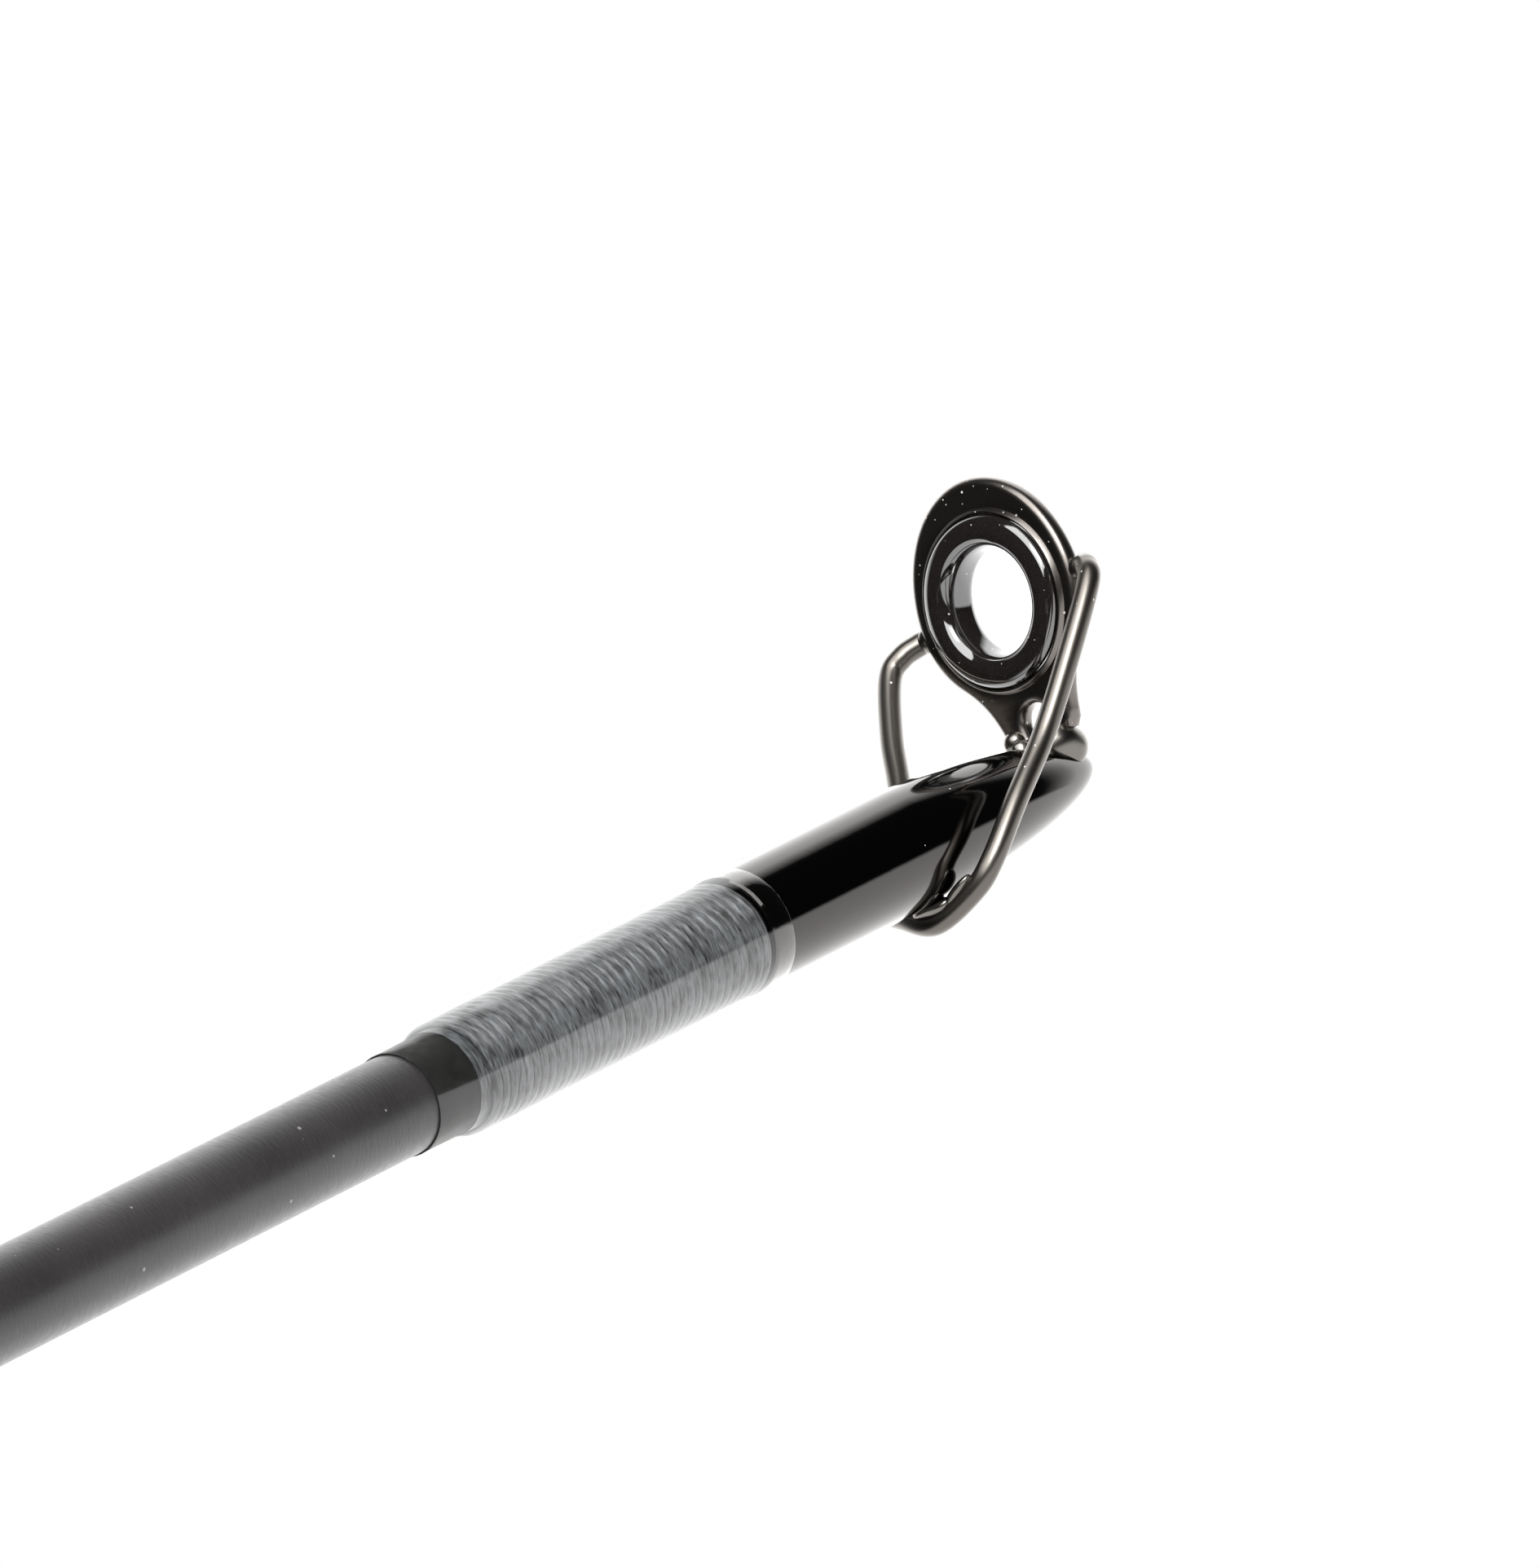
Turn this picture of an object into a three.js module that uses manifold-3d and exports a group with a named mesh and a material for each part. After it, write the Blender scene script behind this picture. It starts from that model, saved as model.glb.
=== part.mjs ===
// Short overhead fishing rod with a round-sided reel on top of it, in millimetres.
// Origin: centre of the butt cap's flat end. +X runs along the rod to the tip, +Z is the side
// that the guides and the reel stand on, and the crank is on the -Y side.
import * as THREE from "three";
import { mergeVertices } from "three/addons/utils/BufferGeometryUtils.js";
import Module from "manifold-3d";

// Driving dimensions
const ROD_LENGTH = 711;
const SIDES = 20; // facets of a large round piece
const SMALL_SIDES = 14; // facets of a small round piece
const GAP = 0.03; // clearance between pieces that touch
const RUN = 0.04; // radial running clearance

// Blank: distance from the butt, radius
const BLANK = [
  [5.3, 4.5],
  [300, 4.0],
  [420, 3.1],
  [520, 2.4],
  [600, 1.75],
  [650, 1.3],
  [673, 1.105],
  [704, 1.06],
];

// Tip-top
const NOSE_X = ROD_LENGTH;
const TUBE = { radius: 1.31, bore: 1.13, length: 12.6, boreDepth: 6.6, nose: 6.8, drop: 0.15 };
const RING = { x: NOSE_X - 0.4, z: 3.86, lean: THREE.MathUtils.degToRad(10.9), throat: 1.15, outer: 1.95 };
const PLATE = { halfWidth: 2.3, top: 2.5, thickness: 0.45, hole: 1.75, foot: -3.9, collar: 2.2 };
const WIRE_RADIUS = 0.25;
const WRAP = { rear: NOSE_X - 22.6, front: NOSE_X - 12.7, thread: 1.28, coat: 1.38 };

// Running guides: distance from the butt, inner radius of the ring, height of its centre
const GUIDES = [
  { x: 400, ring: 4.4, height: 15, doubleFoot: true },
  { x: 490, ring: 3.6, height: 11.5, doubleFoot: false },
  { x: 568, ring: 3.0, height: 9, doubleFoot: false },
  { x: 640, ring: 3.0, height: 7.6, doubleFoot: false },
];
const GUIDE = { wall: 0.9, rim: 0.75, depth: 1.4, plate: 0.8, foot: 14, footWidth: 2.2, footThick: 0.6 };

// Handle
const SEAT = { start: 130.1, end: 241, radius: 9, hood: 11.8, flat: 6.5, bore: 4.62, hoodX: 218 };
const NUT = { x: 142, length: 9, radius: 11.6 };
const HOOD = { x: 151.2, end: 168 };
const FOOT = { rear: 160, front: 227.5, halfWidth: 6, thick: 2.05, top: 11.55 };

// Reel: centre of the spool, then half widths and radii
const REEL = { x: 192, z: 31, frameIn: 10.5, frameOut: 13, rim: 20, rimIn: 16.2 };
const SPOOL = { radius: 15.5, hub: 7, half: 10.2 };
const SHAFT_RADIUS = 1.5;
const BEARING_RADIUS = 4;
const CASE_END = -23;
const GEAR = { teeth: 24, pinionTeeth: 8, tooth: 0.625, addendum: 0.5, dedendum: 0.75 };
const GEAR_DROP = ((GEAR.teeth + GEAR.pinionTeeth) * GEAR.tooth) / 2;
const DRIVE_RADIUS = 2;
const DRIVE = { x: REEL.x, z: REEL.z - GEAR_DROP };
const CRANK = { reach: 26, near: -28.2, far: -30.2, angle: THREE.MathUtils.degToRad(-25) };
const LEVER = { x: REEL.x - 4, z: REEL.z + 10 };
const KNOB = { near: -31, far: -44.8, pin: 1.2 };

const finish = (color, roughness, metalness) =>
  new THREE.MeshStandardMaterial({ color, roughness, metalness });
const MATERIAL = {
  blank: finish(0x2b2c2e, 0.55, 0),
  blackChrome: finish(0x0d0d0f, 0.12, 0.9),
  blackSteel: finish(0x1b1c1e, 0.3, 0.8),
  ceramic: finish(0x08080a, 0.08, 0),
  thread: finish(0x3a3c40, 0.6, 0),
  epoxy: finish(0x54565a, 0.05, 0),
  braze: finish(0x3a3a3c, 0.25, 1),
  glue: finish(0xb9a36a, 0.5, 0),
  foam: finish(0x1d1d1e, 0.9, 0),
  rubber: finish(0x151515, 0.8, 0),
  graphite: finish(0x26272a, 0.45, 0),
  blackAluminium: finish(0x2a2b2e, 0.35, 1),
  silver: finish(0xb9bcc0, 0.3, 1),
  steel: finish(0xa5a8ab, 0.25, 1),
  brass: finish(0xb08d4a, 0.3, 1),
  carbon: finish(0x303133, 0.7, 0),
};

const wasm = await Module();
wasm.setup();
const part = new THREE.Group();

// ---------- solids ----------

function solidFrom(geometry) {
  const flat = geometry.index ? geometry.toNonIndexed() : geometry;
  const bare = new THREE.BufferGeometry().setAttribute("position", flat.getAttribute("position"));
  const merged = mergeVertices(bare, 1e-4);
  const vertProperties = merged.getAttribute("position").array;
  const triVerts = new Uint32Array(merged.index.array);
  return new wasm.Manifold(new wasm.Mesh({ numProp: 3, vertProperties, triVerts }));
}

function geometryFrom(solid) {
  const { vertProperties, triVerts } = solid.getMesh();
  const geometry = new THREE.BufferGeometry();
  geometry.setAttribute("position", new THREE.BufferAttribute(vertProperties, 3));
  geometry.setIndex(new THREE.BufferAttribute(triVerts, 1));
  geometry.computeVertexNormals();
  return geometry;
}

const join = (...shapes) => geometryFrom(shapes.map(solidFrom).reduce((a, b) => a.add(b)));
const cut = (body, ...tools) =>
  geometryFrom(tools.map(solidFrom).reduce((a, b) => a.subtract(b), solidFrom(body)));

function add(name, geometry, material) {
  const mesh = new THREE.Mesh(geometry, material);
  mesh.name = name;
  part.add(mesh);
}

// ---------- shapes ----------

// Facet corners of a hole that clears a shaft of this radius by the given gap.
const holeRadius = (radius, gap, sides) => (radius + gap) / Math.cos(Math.PI / sides);

// Solid of revolution about Y. The profile lists [y, radius] round the section.
function turnedY(profile, sides = SIDES) {
  const points = profile.map(([y, radius]) => new THREE.Vector2(radius, y));
  if (points[0].x > 0 || points.at(-1).x > 0) points.push(points[0].clone());
  if (THREE.ShapeUtils.area(points) < 0) points.reverse();
  return new THREE.LatheGeometry(points, sides);
}

// Solid of revolution about X. The profile lists [x, radius] round the section.
const turnedX = (profile, sides = SIDES) => turnedY(profile, sides).rotateZ(-Math.PI / 2);

// Round bar or tube along Y between two stations, centred on (x, z).
function barY(x, z, from, to, radius, hole = 0, sides = SMALL_SIDES) {
  const outline = hole
    ? [[from, hole], [from, radius], [to, radius], [to, hole]]
    : [[from, 0], [from, radius], [to, radius], [to, 0]];
  return turnedY(outline, sides).translate(x, 0, z);
}

function box([x0, x1], [y0, y1], [z0, z1]) {
  const geometry = new THREE.BoxGeometry(x1 - x0, y1 - y0, z1 - z0);
  return geometry.translate((x0 + x1) / 2, (y0 + y1) / 2, (z0 + z1) / 2);
}

// Flat shape drawn in XZ (x to the right, z up), extruded along Y between two stations.
function slabXZ(shape, from, to) {
  const geometry = new THREE.ExtrudeGeometry(shape, {
    depth: Math.abs(to - from),
    bevelEnabled: false,
    curveSegments: 8,
  });
  return geometry.rotateX(Math.PI / 2).translate(0, Math.max(from, to), 0);
}

// Round wire through the points, with this many facets round it.
function wire(points, radius, sides, steps) {
  const section = new THREE.Shape();
  for (let i = 0; i < sides; i++) {
    const angle = (i * 2 * Math.PI) / sides;
    const corner = [radius * Math.cos(angle), radius * Math.sin(angle)];
    if (i === 0) section.moveTo(...corner);
    else section.lineTo(...corner);
  }
  section.closePath();
  const extrudePath = new THREE.CatmullRomCurve3(points);
  return new THREE.ExtrudeGeometry(section, { steps, extrudePath, bevelEnabled: false });
}

// Round hole; it runs the other way round from the outline that it is cut in.
function circleHole(radius, x = 0, y = 0, clockwise = true) {
  return new THREE.Path().absarc(x, y, radius, 0, 2 * Math.PI, clockwise);
}

function blankRadius(x) {
  const next = BLANK.findIndex(([station]) => station >= x);
  if (next < 1) return BLANK[Math.max(next, 0)][1];
  const [x0, r0] = BLANK[next - 1];
  const [x1, r1] = BLANK[next];
  return r0 + ((r1 - r0) * (x - x0)) / (x1 - x0);
}

// ---------- rod ----------

function addBlank() {
  const [start] = BLANK[0];
  const [end] = BLANK.at(-1);
  add("blank", turnedX([[start, 0], ...BLANK, [end, 0]]), MATERIAL.blank);
}

function addHandle() {
  const bore = SEAT.bore;
  const gripEnd = SEAT.start - 0.3;
  add(
    "butt_cap",
    turnedX([[0, 0], [0, 11.5], [1.5, 12.8], [14, 12.8], [16, 12.2], [16, 11.1], [5, 11.1], [5, 0]]),
    MATERIAL.rubber,
  );
  add(
    "rear_grip",
    turnedX([
      [5.2, bore], [5.2, 11], [16.2, 11], [16.4, 12.2], [40, 11.6], [75, 11],
      [110, 12.4], [gripEnd - 2, 12], [gripEnd, 10.8], [gripEnd, bore],
    ]),
    MATERIAL.foam,
  );
  add("reel_seat", reelSeat(), MATERIAL.graphite);
  const inner = holeRadius(SEAT.radius, RUN, SIDES);
  add("lock_nut", lockNut(inner), MATERIAL.blackAluminium);
  add("sliding_hood", slidingHood(inner), MATERIAL.blackAluminium);
  const fore = SEAT.end + 0.2;
  add(
    "fore_grip",
    turnedX([
      [fore, bore], [fore, 11.4], [250, 11.7], [270, 10.6], [288, 8.6], [298, 6.6], [300, 5.9], [300, bore],
    ]),
    MATERIAL.foam,
  );
  add("winding_check", turnedX([[300.2, 4.15], [300.2, 5.9], [302.4, 5.6], [303.4, 4.6], [303.4, 4.15]]), MATERIAL.silver);
  add("hook_keeper", hookKeeper(), MATERIAL.blackSteel);
}

// Skeleton of the seat: tube, fixed front hood, flat pad for the reel foot and a finger trigger.
function reelSeat() {
  const { start, end, radius, hood, flat, bore, hoodX } = SEAT;
  const tube = turnedX([
    [start, bore], [start, radius], [hoodX, radius], [hoodX, hood - 0.6],
    [hoodX + 2, hood], [end - 3, hood], [end, hood - 1], [end, bore],
  ]);
  const trigger = new THREE.Shape();
  trigger.moveTo(185, -7);
  trigger.bezierCurveTo(192, -10, 193, -16, 193, -20);
  trigger.bezierCurveTo(193, -25, 201, -25, 201, -20);
  trigger.bezierCurveTo(201, -15, 206, -9, 212, -7);
  const pad = box([158, hoodX], [-12, 12], [flat, 20]);
  const pocket = box([hoodX - 1, hoodX + 10], [-6.2, 6.2], [flat, 8.9]);
  return cut(join(tube, slabXZ(trigger, -3.5, 3.5)), pad, pocket);
}

function lockNut(inner) {
  const { x, length, radius } = NUT;
  const ring = turnedX([[x, inner], [x, radius], [x + length, radius], [x + length, inner]]);
  const grooves = Array.from({ length: 8 }, (_, i) => {
    const bar = turnedX([[x - 1, 0], [x - 1, 0.9], [x + length + 1, 0.9], [x + length + 1, 0]], 6);
    return bar.translate(0, radius + 0.2, 0).rotateX((i * Math.PI) / 4);
  });
  return cut(ring, ...grooves);
}

function slidingHood(inner) {
  const { x, end } = HOOD;
  const ring = turnedX([[x, inner], [x, 11.2], [x + 2, 11.8], [end - 4, 11.8], [end, 11.2], [end, inner]]);
  const pocket = box([FOOT.rear - 0.6, end + 1], [-6.2, 6.2], [SEAT.flat - 0.2, 8.9]);
  return cut(ring, pocket);
}

function hookKeeper() {
  const z = -blankRadius(312);
  const points = [
    [312, 0, z - 0.5], [316, 0, z - 0.7], [317, 0, z - 3], [320, 0, z - 3.6],
    [323, 0, z - 3], [324, 0, z - 0.7], [328, 0, z - 0.5],
  ];
  return wire(points.map((p) => new THREE.Vector3(...p)), 0.35, 6, 20);
}

// ---------- running guides ----------

function ringAlongX(x, z, inner, wall, depth) {
  const outer = inner + wall;
  const half = depth / 2;
  const soft = wall * 0.3;
  const section = [
    [-half + soft, inner], [-half, inner + soft], [-half, outer - soft], [-half + soft, outer],
    [half - soft, outer], [half, outer - soft], [half, inner + soft], [half - soft, inner],
  ];
  return turnedX(section).translate(x, 0, z);
}

function guideFrame({ x, ring, height, doubleFoot }) {
  const hole = ring + GUIDE.wall + GAP;
  const outer = hole + GUIDE.rim;
  const halfPlate = GUIDE.plate / 2;
  const collar = turnedX([
    [-halfPlate, hole], [-halfPlate, outer], [halfPlate, outer], [halfPlate, hole],
  ]).translate(x, 0, height);
  const floor = blankRadius(x - GUIDE.foot) + GAP;
  const half = GUIDE.footWidth / 2;
  const neck = box([x - halfPlate, x + halfPlate], [-half, half], [floor, height - hole - 0.1]);
  const foot = box([x - GUIDE.foot, x + halfPlate], [-half, half], [floor, floor + GUIDE.footThick]);
  const pieces = [collar, neck, foot];
  if (doubleFoot) {
    const landing = x + 16;
    pieces.push(box([landing - 1, landing + GUIDE.foot], [-half, half], [floor, floor + GUIDE.footThick]));
    for (const side of [-1, 1]) {
      const strut = [
        new THREE.Vector3(x + 0.3, side * (hole + 0.8), height),
        new THREE.Vector3(x + 8, side * (hole - 0.4), height * 0.6),
        new THREE.Vector3(landing + 0.4, side * 0.7, floor + 0.45),
      ];
      pieces.push(wire(strut, 0.6, 6, 8));
    }
  }
  return join(...pieces);
}

// Thread wrap over one foot: a barrel hollowed for the blank and the foot under it.
function footWrap(from, to, floor) {
  const top = floor + GUIDE.footThick + 0.35;
  const half = GUIDE.footWidth / 2 + GAP;
  const barrel = turnedX([[from, 0], [from, top - 0.4], [from + 1, top], [to - 1, top], [to, top - 0.4], [to, 0]]);
  const bore = blankRadius(from) + GAP;
  const core = turnedX([[from - 1, 0], [from - 1, bore], [to + 1, bore], [to + 1, 0]]);
  const slot = box([from - 1, to + 1], [-half, half], [0, floor + GUIDE.footThick + GAP]);
  return cut(barrel, core, slot);
}

function addGuides() {
  GUIDES.forEach((guide, i) => {
    const name = `guide_${i + 1}`;
    const { x, ring, height, doubleFoot } = guide;
    const floor = blankRadius(x - GUIDE.foot) + GAP;
    add(`${name}_frame`, guideFrame(guide), MATERIAL.blackSteel);
    add(`${name}_ring`, ringAlongX(x, height, ring, GUIDE.wall, GUIDE.depth), MATERIAL.ceramic);
    add(`${name}_wrap`, footWrap(x - GUIDE.foot - 3, x - 1.5, floor), MATERIAL.thread);
    if (doubleFoot) add(`${name}_front_wrap`, footWrap(x + 18, x + GUIDE.foot + 19, floor), MATERIAL.thread);
  });
}

// ---------- tip-top ----------

// Outer profile of the tube: straight, then a long rounded nose that closes on the axis.
function tubeOutline(extra = 0) {
  const { radius, nose } = TUBE;
  const outline = [];
  for (let i = 0; i <= 9; i++) {
    const t = Math.sin((i * Math.PI) / 18);
    const r = radius * Math.pow(Math.max(0, 1 - Math.pow(t, 1.8)), 0.526);
    outline.push([NOSE_X - nose * (1 - t), i === 9 ? 0 : r + extra]);
  }
  return outline;
}

// The nose is flattened from above: its centre line sinks towards the end.
function sinkNose(geometry) {
  const position = geometry.getAttribute("position");
  for (let i = 0; i < position.count; i++) {
    const t = Math.max(0, (position.getX(i) - NOSE_X + TUBE.nose) / TUBE.nose);
    position.setZ(i, position.getZ(i) - TUBE.drop * t * t);
  }
  return geometry;
}

function tipTube() {
  const start = NOSE_X - TUBE.length;
  const end = start + TUBE.boreDepth;
  const outer = [[start, TUBE.bore], [start, TUBE.radius], ...tubeOutline()];
  return sinkNose(turnedX([...outer, [end, 0], [end, TUBE.bore]]));
}

// Places a shape drawn in the ring's plane: x sideways, y up, z along the rod.
function inRingPlane(geometry) {
  const sin = Math.sin(RING.lean);
  const cos = Math.cos(RING.lean);
  const across = new THREE.Vector3(0, 1, 0);
  const up = new THREE.Vector3(sin, 0, cos);
  const along = new THREE.Vector3(cos, 0, -sin);
  const frame = new THREE.Matrix4().makeBasis(across, up, along).setPosition(RING.x, 0, RING.z);
  return geometry.applyMatrix4(frame);
}

function ringPlate() {
  const { halfWidth, top, thickness, hole, foot, collar } = PLATE;
  const outline = new THREE.Shape();
  outline.moveTo(-0.95, foot);
  outline.lineTo(-0.98, -2.9);
  outline.bezierCurveTo(-1.1, -2.3, -1.25, -1.95, -1.75, -1.55);
  outline.bezierCurveTo(-2.15, -1.2, -halfWidth, -0.6, -halfWidth, 0);
  outline.absellipse(0, 0, halfWidth, top, Math.PI, 0, true);
  outline.bezierCurveTo(halfWidth, -0.6, 2.15, -1.2, 1.75, -1.55);
  outline.bezierCurveTo(1.25, -1.95, 1.1, -2.3, 0.98, -2.9);
  outline.lineTo(0.95, foot);
  outline.lineTo(0.5, foot);
  outline.lineTo(0.5, -2.6);
  outline.absarc(0, -2.6, 0.5, 0, Math.PI, false);
  outline.lineTo(-0.5, foot);
  outline.closePath();
  outline.holes.push(circleHole(hole, 0, 0, false));
  const plate = new THREE.ExtrudeGeometry(outline, { depth: thickness, bevelEnabled: false, curveSegments: 14 });
  plate.translate(0, 0, -thickness / 2);
  const back = -thickness / 2;
  const rim = turnedY([[back - 0.35, 1.99], [back - 0.35, collar - 0.06], [back + 0.1, collar], [back + 0.1, 1.99]]);
  const whole = inRingPlane(join(plate, rim.rotateX(Math.PI / 2)));
  const tubeClear = sinkNose(turnedX([[NOSE_X - TUBE.length, 0], ...tubeOutline(GAP), [NOSE_X + GAP, 0]]));
  return cut(whole, tubeClear);
}

function ceramicRing() {
  const { throat, outer } = RING;
  const front = PLATE.thickness / 2;
  const inside = PLATE.hole - GAP;
  const section = [
    [-0.1, throat], [-0.45, throat + 0.06], [-0.68, throat + 0.22], [-0.74, throat + 0.45],
    [-0.66, outer - 0.12], [-0.5, outer], [-front - GAP, outer], [-front - GAP, inside],
    [front + 0.1, inside], [front + 0.22, inside - 0.2], [front + 0.12, throat + 0.12], [0.1, throat],
  ];
  return inRingPlane(turnedY(section).rotateX(Math.PI / 2));
}

// One wire: from the plate's side, down and back, round under the tube and up the other side.
function braceWire() {
  const side = [
    [-0.05, 2.62, 3.78], [-0.7, 2.88, 3.5], [-1.85, 2.66, 2.26], [-3.37, 2.42, 0.92],
    [-4.85, 2.2, -0.12], [-6.0, 1.62, -1.15],
  ];
  const bottom = [-6.5, 0, -TUBE.radius - WIRE_RADIUS - GAP];
  const mirrored = side.map(([x, y, z]) => [x, -y, z]).reverse();
  const points = [...side, bottom, ...mirrored].map(([x, y, z]) => new THREE.Vector3(RING.x + x, y, z));
  return wire(points, WIRE_RADIUS, 8, 44);
}

// Hardened drop of brazing metal, cut back from the pieces that it joins.
function brazeDrop(x, y, z, radius, ...neighbours) {
  const drop = new THREE.SphereGeometry(radius, 12, 8).translate(x, y, z);
  return cut(drop, ...neighbours);
}

function addTipTop() {
  const tube = tipTube();
  const plate = ringPlate();
  const brace = braceWire();
  add("tip_tube", tube, MATERIAL.blackChrome);
  const glueEnd = NOSE_X - TUBE.length + TUBE.boreDepth - GAP;
  const glueStart = BLANK.at(-1)[0] + GAP;
  add(
    "tip_adhesive",
    turnedX([[glueStart, 0], [glueStart, 1.06], [glueEnd, 1.06], [glueEnd, 0]]),
    MATERIAL.glue,
  );
  add("tip_ring_frame", plate, MATERIAL.blackChrome);
  add("tip_ceramic_ring", ceramicRing(), MATERIAL.ceramic);
  add("tip_brace_wire", brace, MATERIAL.blackChrome);
  add("braze_left", brazeDrop(RING.x - 0.75, 1.0, 0.25, 0.34, tube, plate), MATERIAL.braze);
  add("braze_right", brazeDrop(RING.x - 0.75, -1.0, 0.25, 0.34, tube, plate), MATERIAL.braze);
  add("braze_under", brazeDrop(RING.x - 6.9, 0, -1.5, 0.32, tube, brace), MATERIAL.braze);
  addTipWrap();
}

function addTipWrap() {
  const { rear, front, thread, coat } = WRAP;
  const inner = 1.12;
  add(
    "tip_thread_wrap",
    turnedX([[rear, inner], [rear, thread], [front, thread], [front, inner]]),
    MATERIAL.thread,
  );
  const rearWall = rear - GAP;
  const lip = NOSE_X - TUBE.length + 0.55;
  add(
    "tip_epoxy_coat",
    turnedX([
      [rear - 0.7, inner], [rear - 0.3, 1.33], [rear + 2, coat], [rear + 4, coat - 0.02], [front - 0.7, coat - 0.02],
      [front + 0.3, coat], [lip, 1.35], [lip, 1.33], [front + GAP, 1.33],
      [front + GAP, thread + 0.02], [rearWall, thread + 0.02], [rearWall, inner],
    ]),
    MATERIAL.epoxy,
  );
}

// ---------- reel ----------

const atSpool = (geometry) => geometry.translate(REEL.x, 0, REEL.z);

function addReelBody() {
  const { x, z, frameIn, frameOut, rim, rimIn } = REEL;
  const padBottom = SEAT.flat + 0.05;
  const ends = box([FOOT.rear, FOOT.front], [-FOOT.halfWidth, FOOT.halfWidth], [padBottom, padBottom + FOOT.thick]);
  const stand = box([x - 12, x + 12], [-frameIn + 0.1, frameIn - 0.1], [padBottom + FOOT.thick - 0.1, FOOT.top]);
  add("reel_foot", join(ends, stand), MATERIAL.silver);

  const rings = [-1, 1].map((side) =>
    barY(x, z, side * frameIn, side * frameOut, rim, rimIn, 28),
  );
  const floor = box([x - 10, x + 10], [-frameIn - 0.2, frameIn + 0.2], [FOOT.top + 0.05, FOOT.top + 2.4]);
  const pillars = [20, 110, 160].map((degrees) => {
    const angle = THREE.MathUtils.degToRad(degrees);
    const radius = (rim + rimIn) / 2;
    return barY(x + radius * Math.cos(angle), z + radius * Math.sin(angle), -frameIn - 0.5, frameIn + 0.5, 1.5, 0, 10);
  });
  add("reel_frame", join(...rings, floor, ...pillars), MATERIAL.blackAluminium);
  add("left_side_plate", leftSidePlate(), MATERIAL.blackAluminium);
  add("right_side_plate", rightSidePlate(), MATERIAL.blackAluminium);
  const bearingHole = holeRadius(SHAFT_RADIUS, RUN, SMALL_SIDES);
  add("bearing_left", barY(x, z, 13.45, 15.9, BEARING_RADIUS, bearingHole), MATERIAL.steel);
  add("bearing_right", barY(x, z, -21.3, -18.8, BEARING_RADIUS, bearingHole), MATERIAL.steel);
}

function leftSidePlate() {
  const { frameOut, rim } = REEL;
  const face = frameOut + 0.05;
  const pocket = BEARING_RADIUS + 0.1;
  return atSpool(
    turnedY(
      [
        [17.5, 0], [17.5, 14], [16.6, 18.6], [15.2, rim], [face, rim], [face, rim - 2.4], [14.8, rim - 2.4],
        [14.8, 5.6], [13.4, 5.6], [13.4, pocket], [16, pocket], [16, 0],
      ],
      28,
    ),
  );
}

// Gear case: a deep cup with a bearing pocket for the spool and a bored boss for the drive shaft.
function rightSidePlate() {
  const { frameOut, rim } = REEL;
  const face = -frameOut - 0.05;
  const pocket = BEARING_RADIUS + 0.1;
  const floor = CASE_END + 1.6;
  const cup = atSpool(
    turnedY(
      [
        [CASE_END, 0], [CASE_END, 17], [CASE_END + 1.2, rim - 0.5], [CASE_END + 2.6, rim], [face, rim],
        [face, rim - 1.5], [floor, rim - 1.5], [floor, 5.4], [-18.7, 5.4], [-18.7, pocket], [floor, pocket], [floor, 0],
      ],
      28,
    ),
  );
  const bore = holeRadius(DRIVE_RADIUS, RUN, SMALL_SIDES);
  return cut(cup, barY(DRIVE.x, DRIVE.z, CASE_END - 1, floor + 1, bore));
}

// Spur gear outline round (cx, cz) with straight-sided teeth; phase is the angle of the first tooth.
function gearShape(teeth, cx, cz, phase, hole) {
  const pitch = (teeth * GEAR.tooth) / 2;
  const step = (2 * Math.PI) / teeth;
  const shape = new THREE.Shape();
  const corners = [
    [-0.3, pitch - GEAR.dedendum],
    [-0.12, pitch + GEAR.addendum],
    [0.12, pitch + GEAR.addendum],
    [0.3, pitch - GEAR.dedendum],
  ];
  for (let i = 0; i < teeth; i++) {
    for (const [share, radius] of corners) {
      const angle = phase + (i + share) * step;
      const point = [cx + radius * Math.cos(angle), cz + radius * Math.sin(angle)];
      if (i === 0 && share === -0.3) shape.moveTo(...point);
      else shape.lineTo(...point);
    }
  }
  shape.closePath();
  shape.holes.push(circleHole(hole, cx, cz));
  return shape;
}

function addSpool() {
  const { x, z } = REEL;
  const { radius, hub, half } = SPOOL;
  const bore = holeRadius(SHAFT_RADIUS, GAP, SIDES);
  add(
    "spool",
    atSpool(
      turnedY([
        [-half, bore], [-half, radius], [-half + 0.9, radius], [-half + 1.7, hub],
        [half - 1.7, hub], [half - 0.9, radius], [half, radius], [half, bore],
      ]),
    ),
    MATERIAL.silver,
  );
  add("spool_shaft", barY(x, z, -21.2, 15.8, SHAFT_RADIUS), MATERIAL.steel);
  const besideGap = -Math.PI / 2 + Math.PI / GEAR.pinionTeeth;
  const outline = gearShape(GEAR.pinionTeeth, x, z, besideGap, SHAFT_RADIUS + 0.08);
  add("pinion", slabXZ(outline, -18.4, -14), MATERIAL.brass);
}

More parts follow.
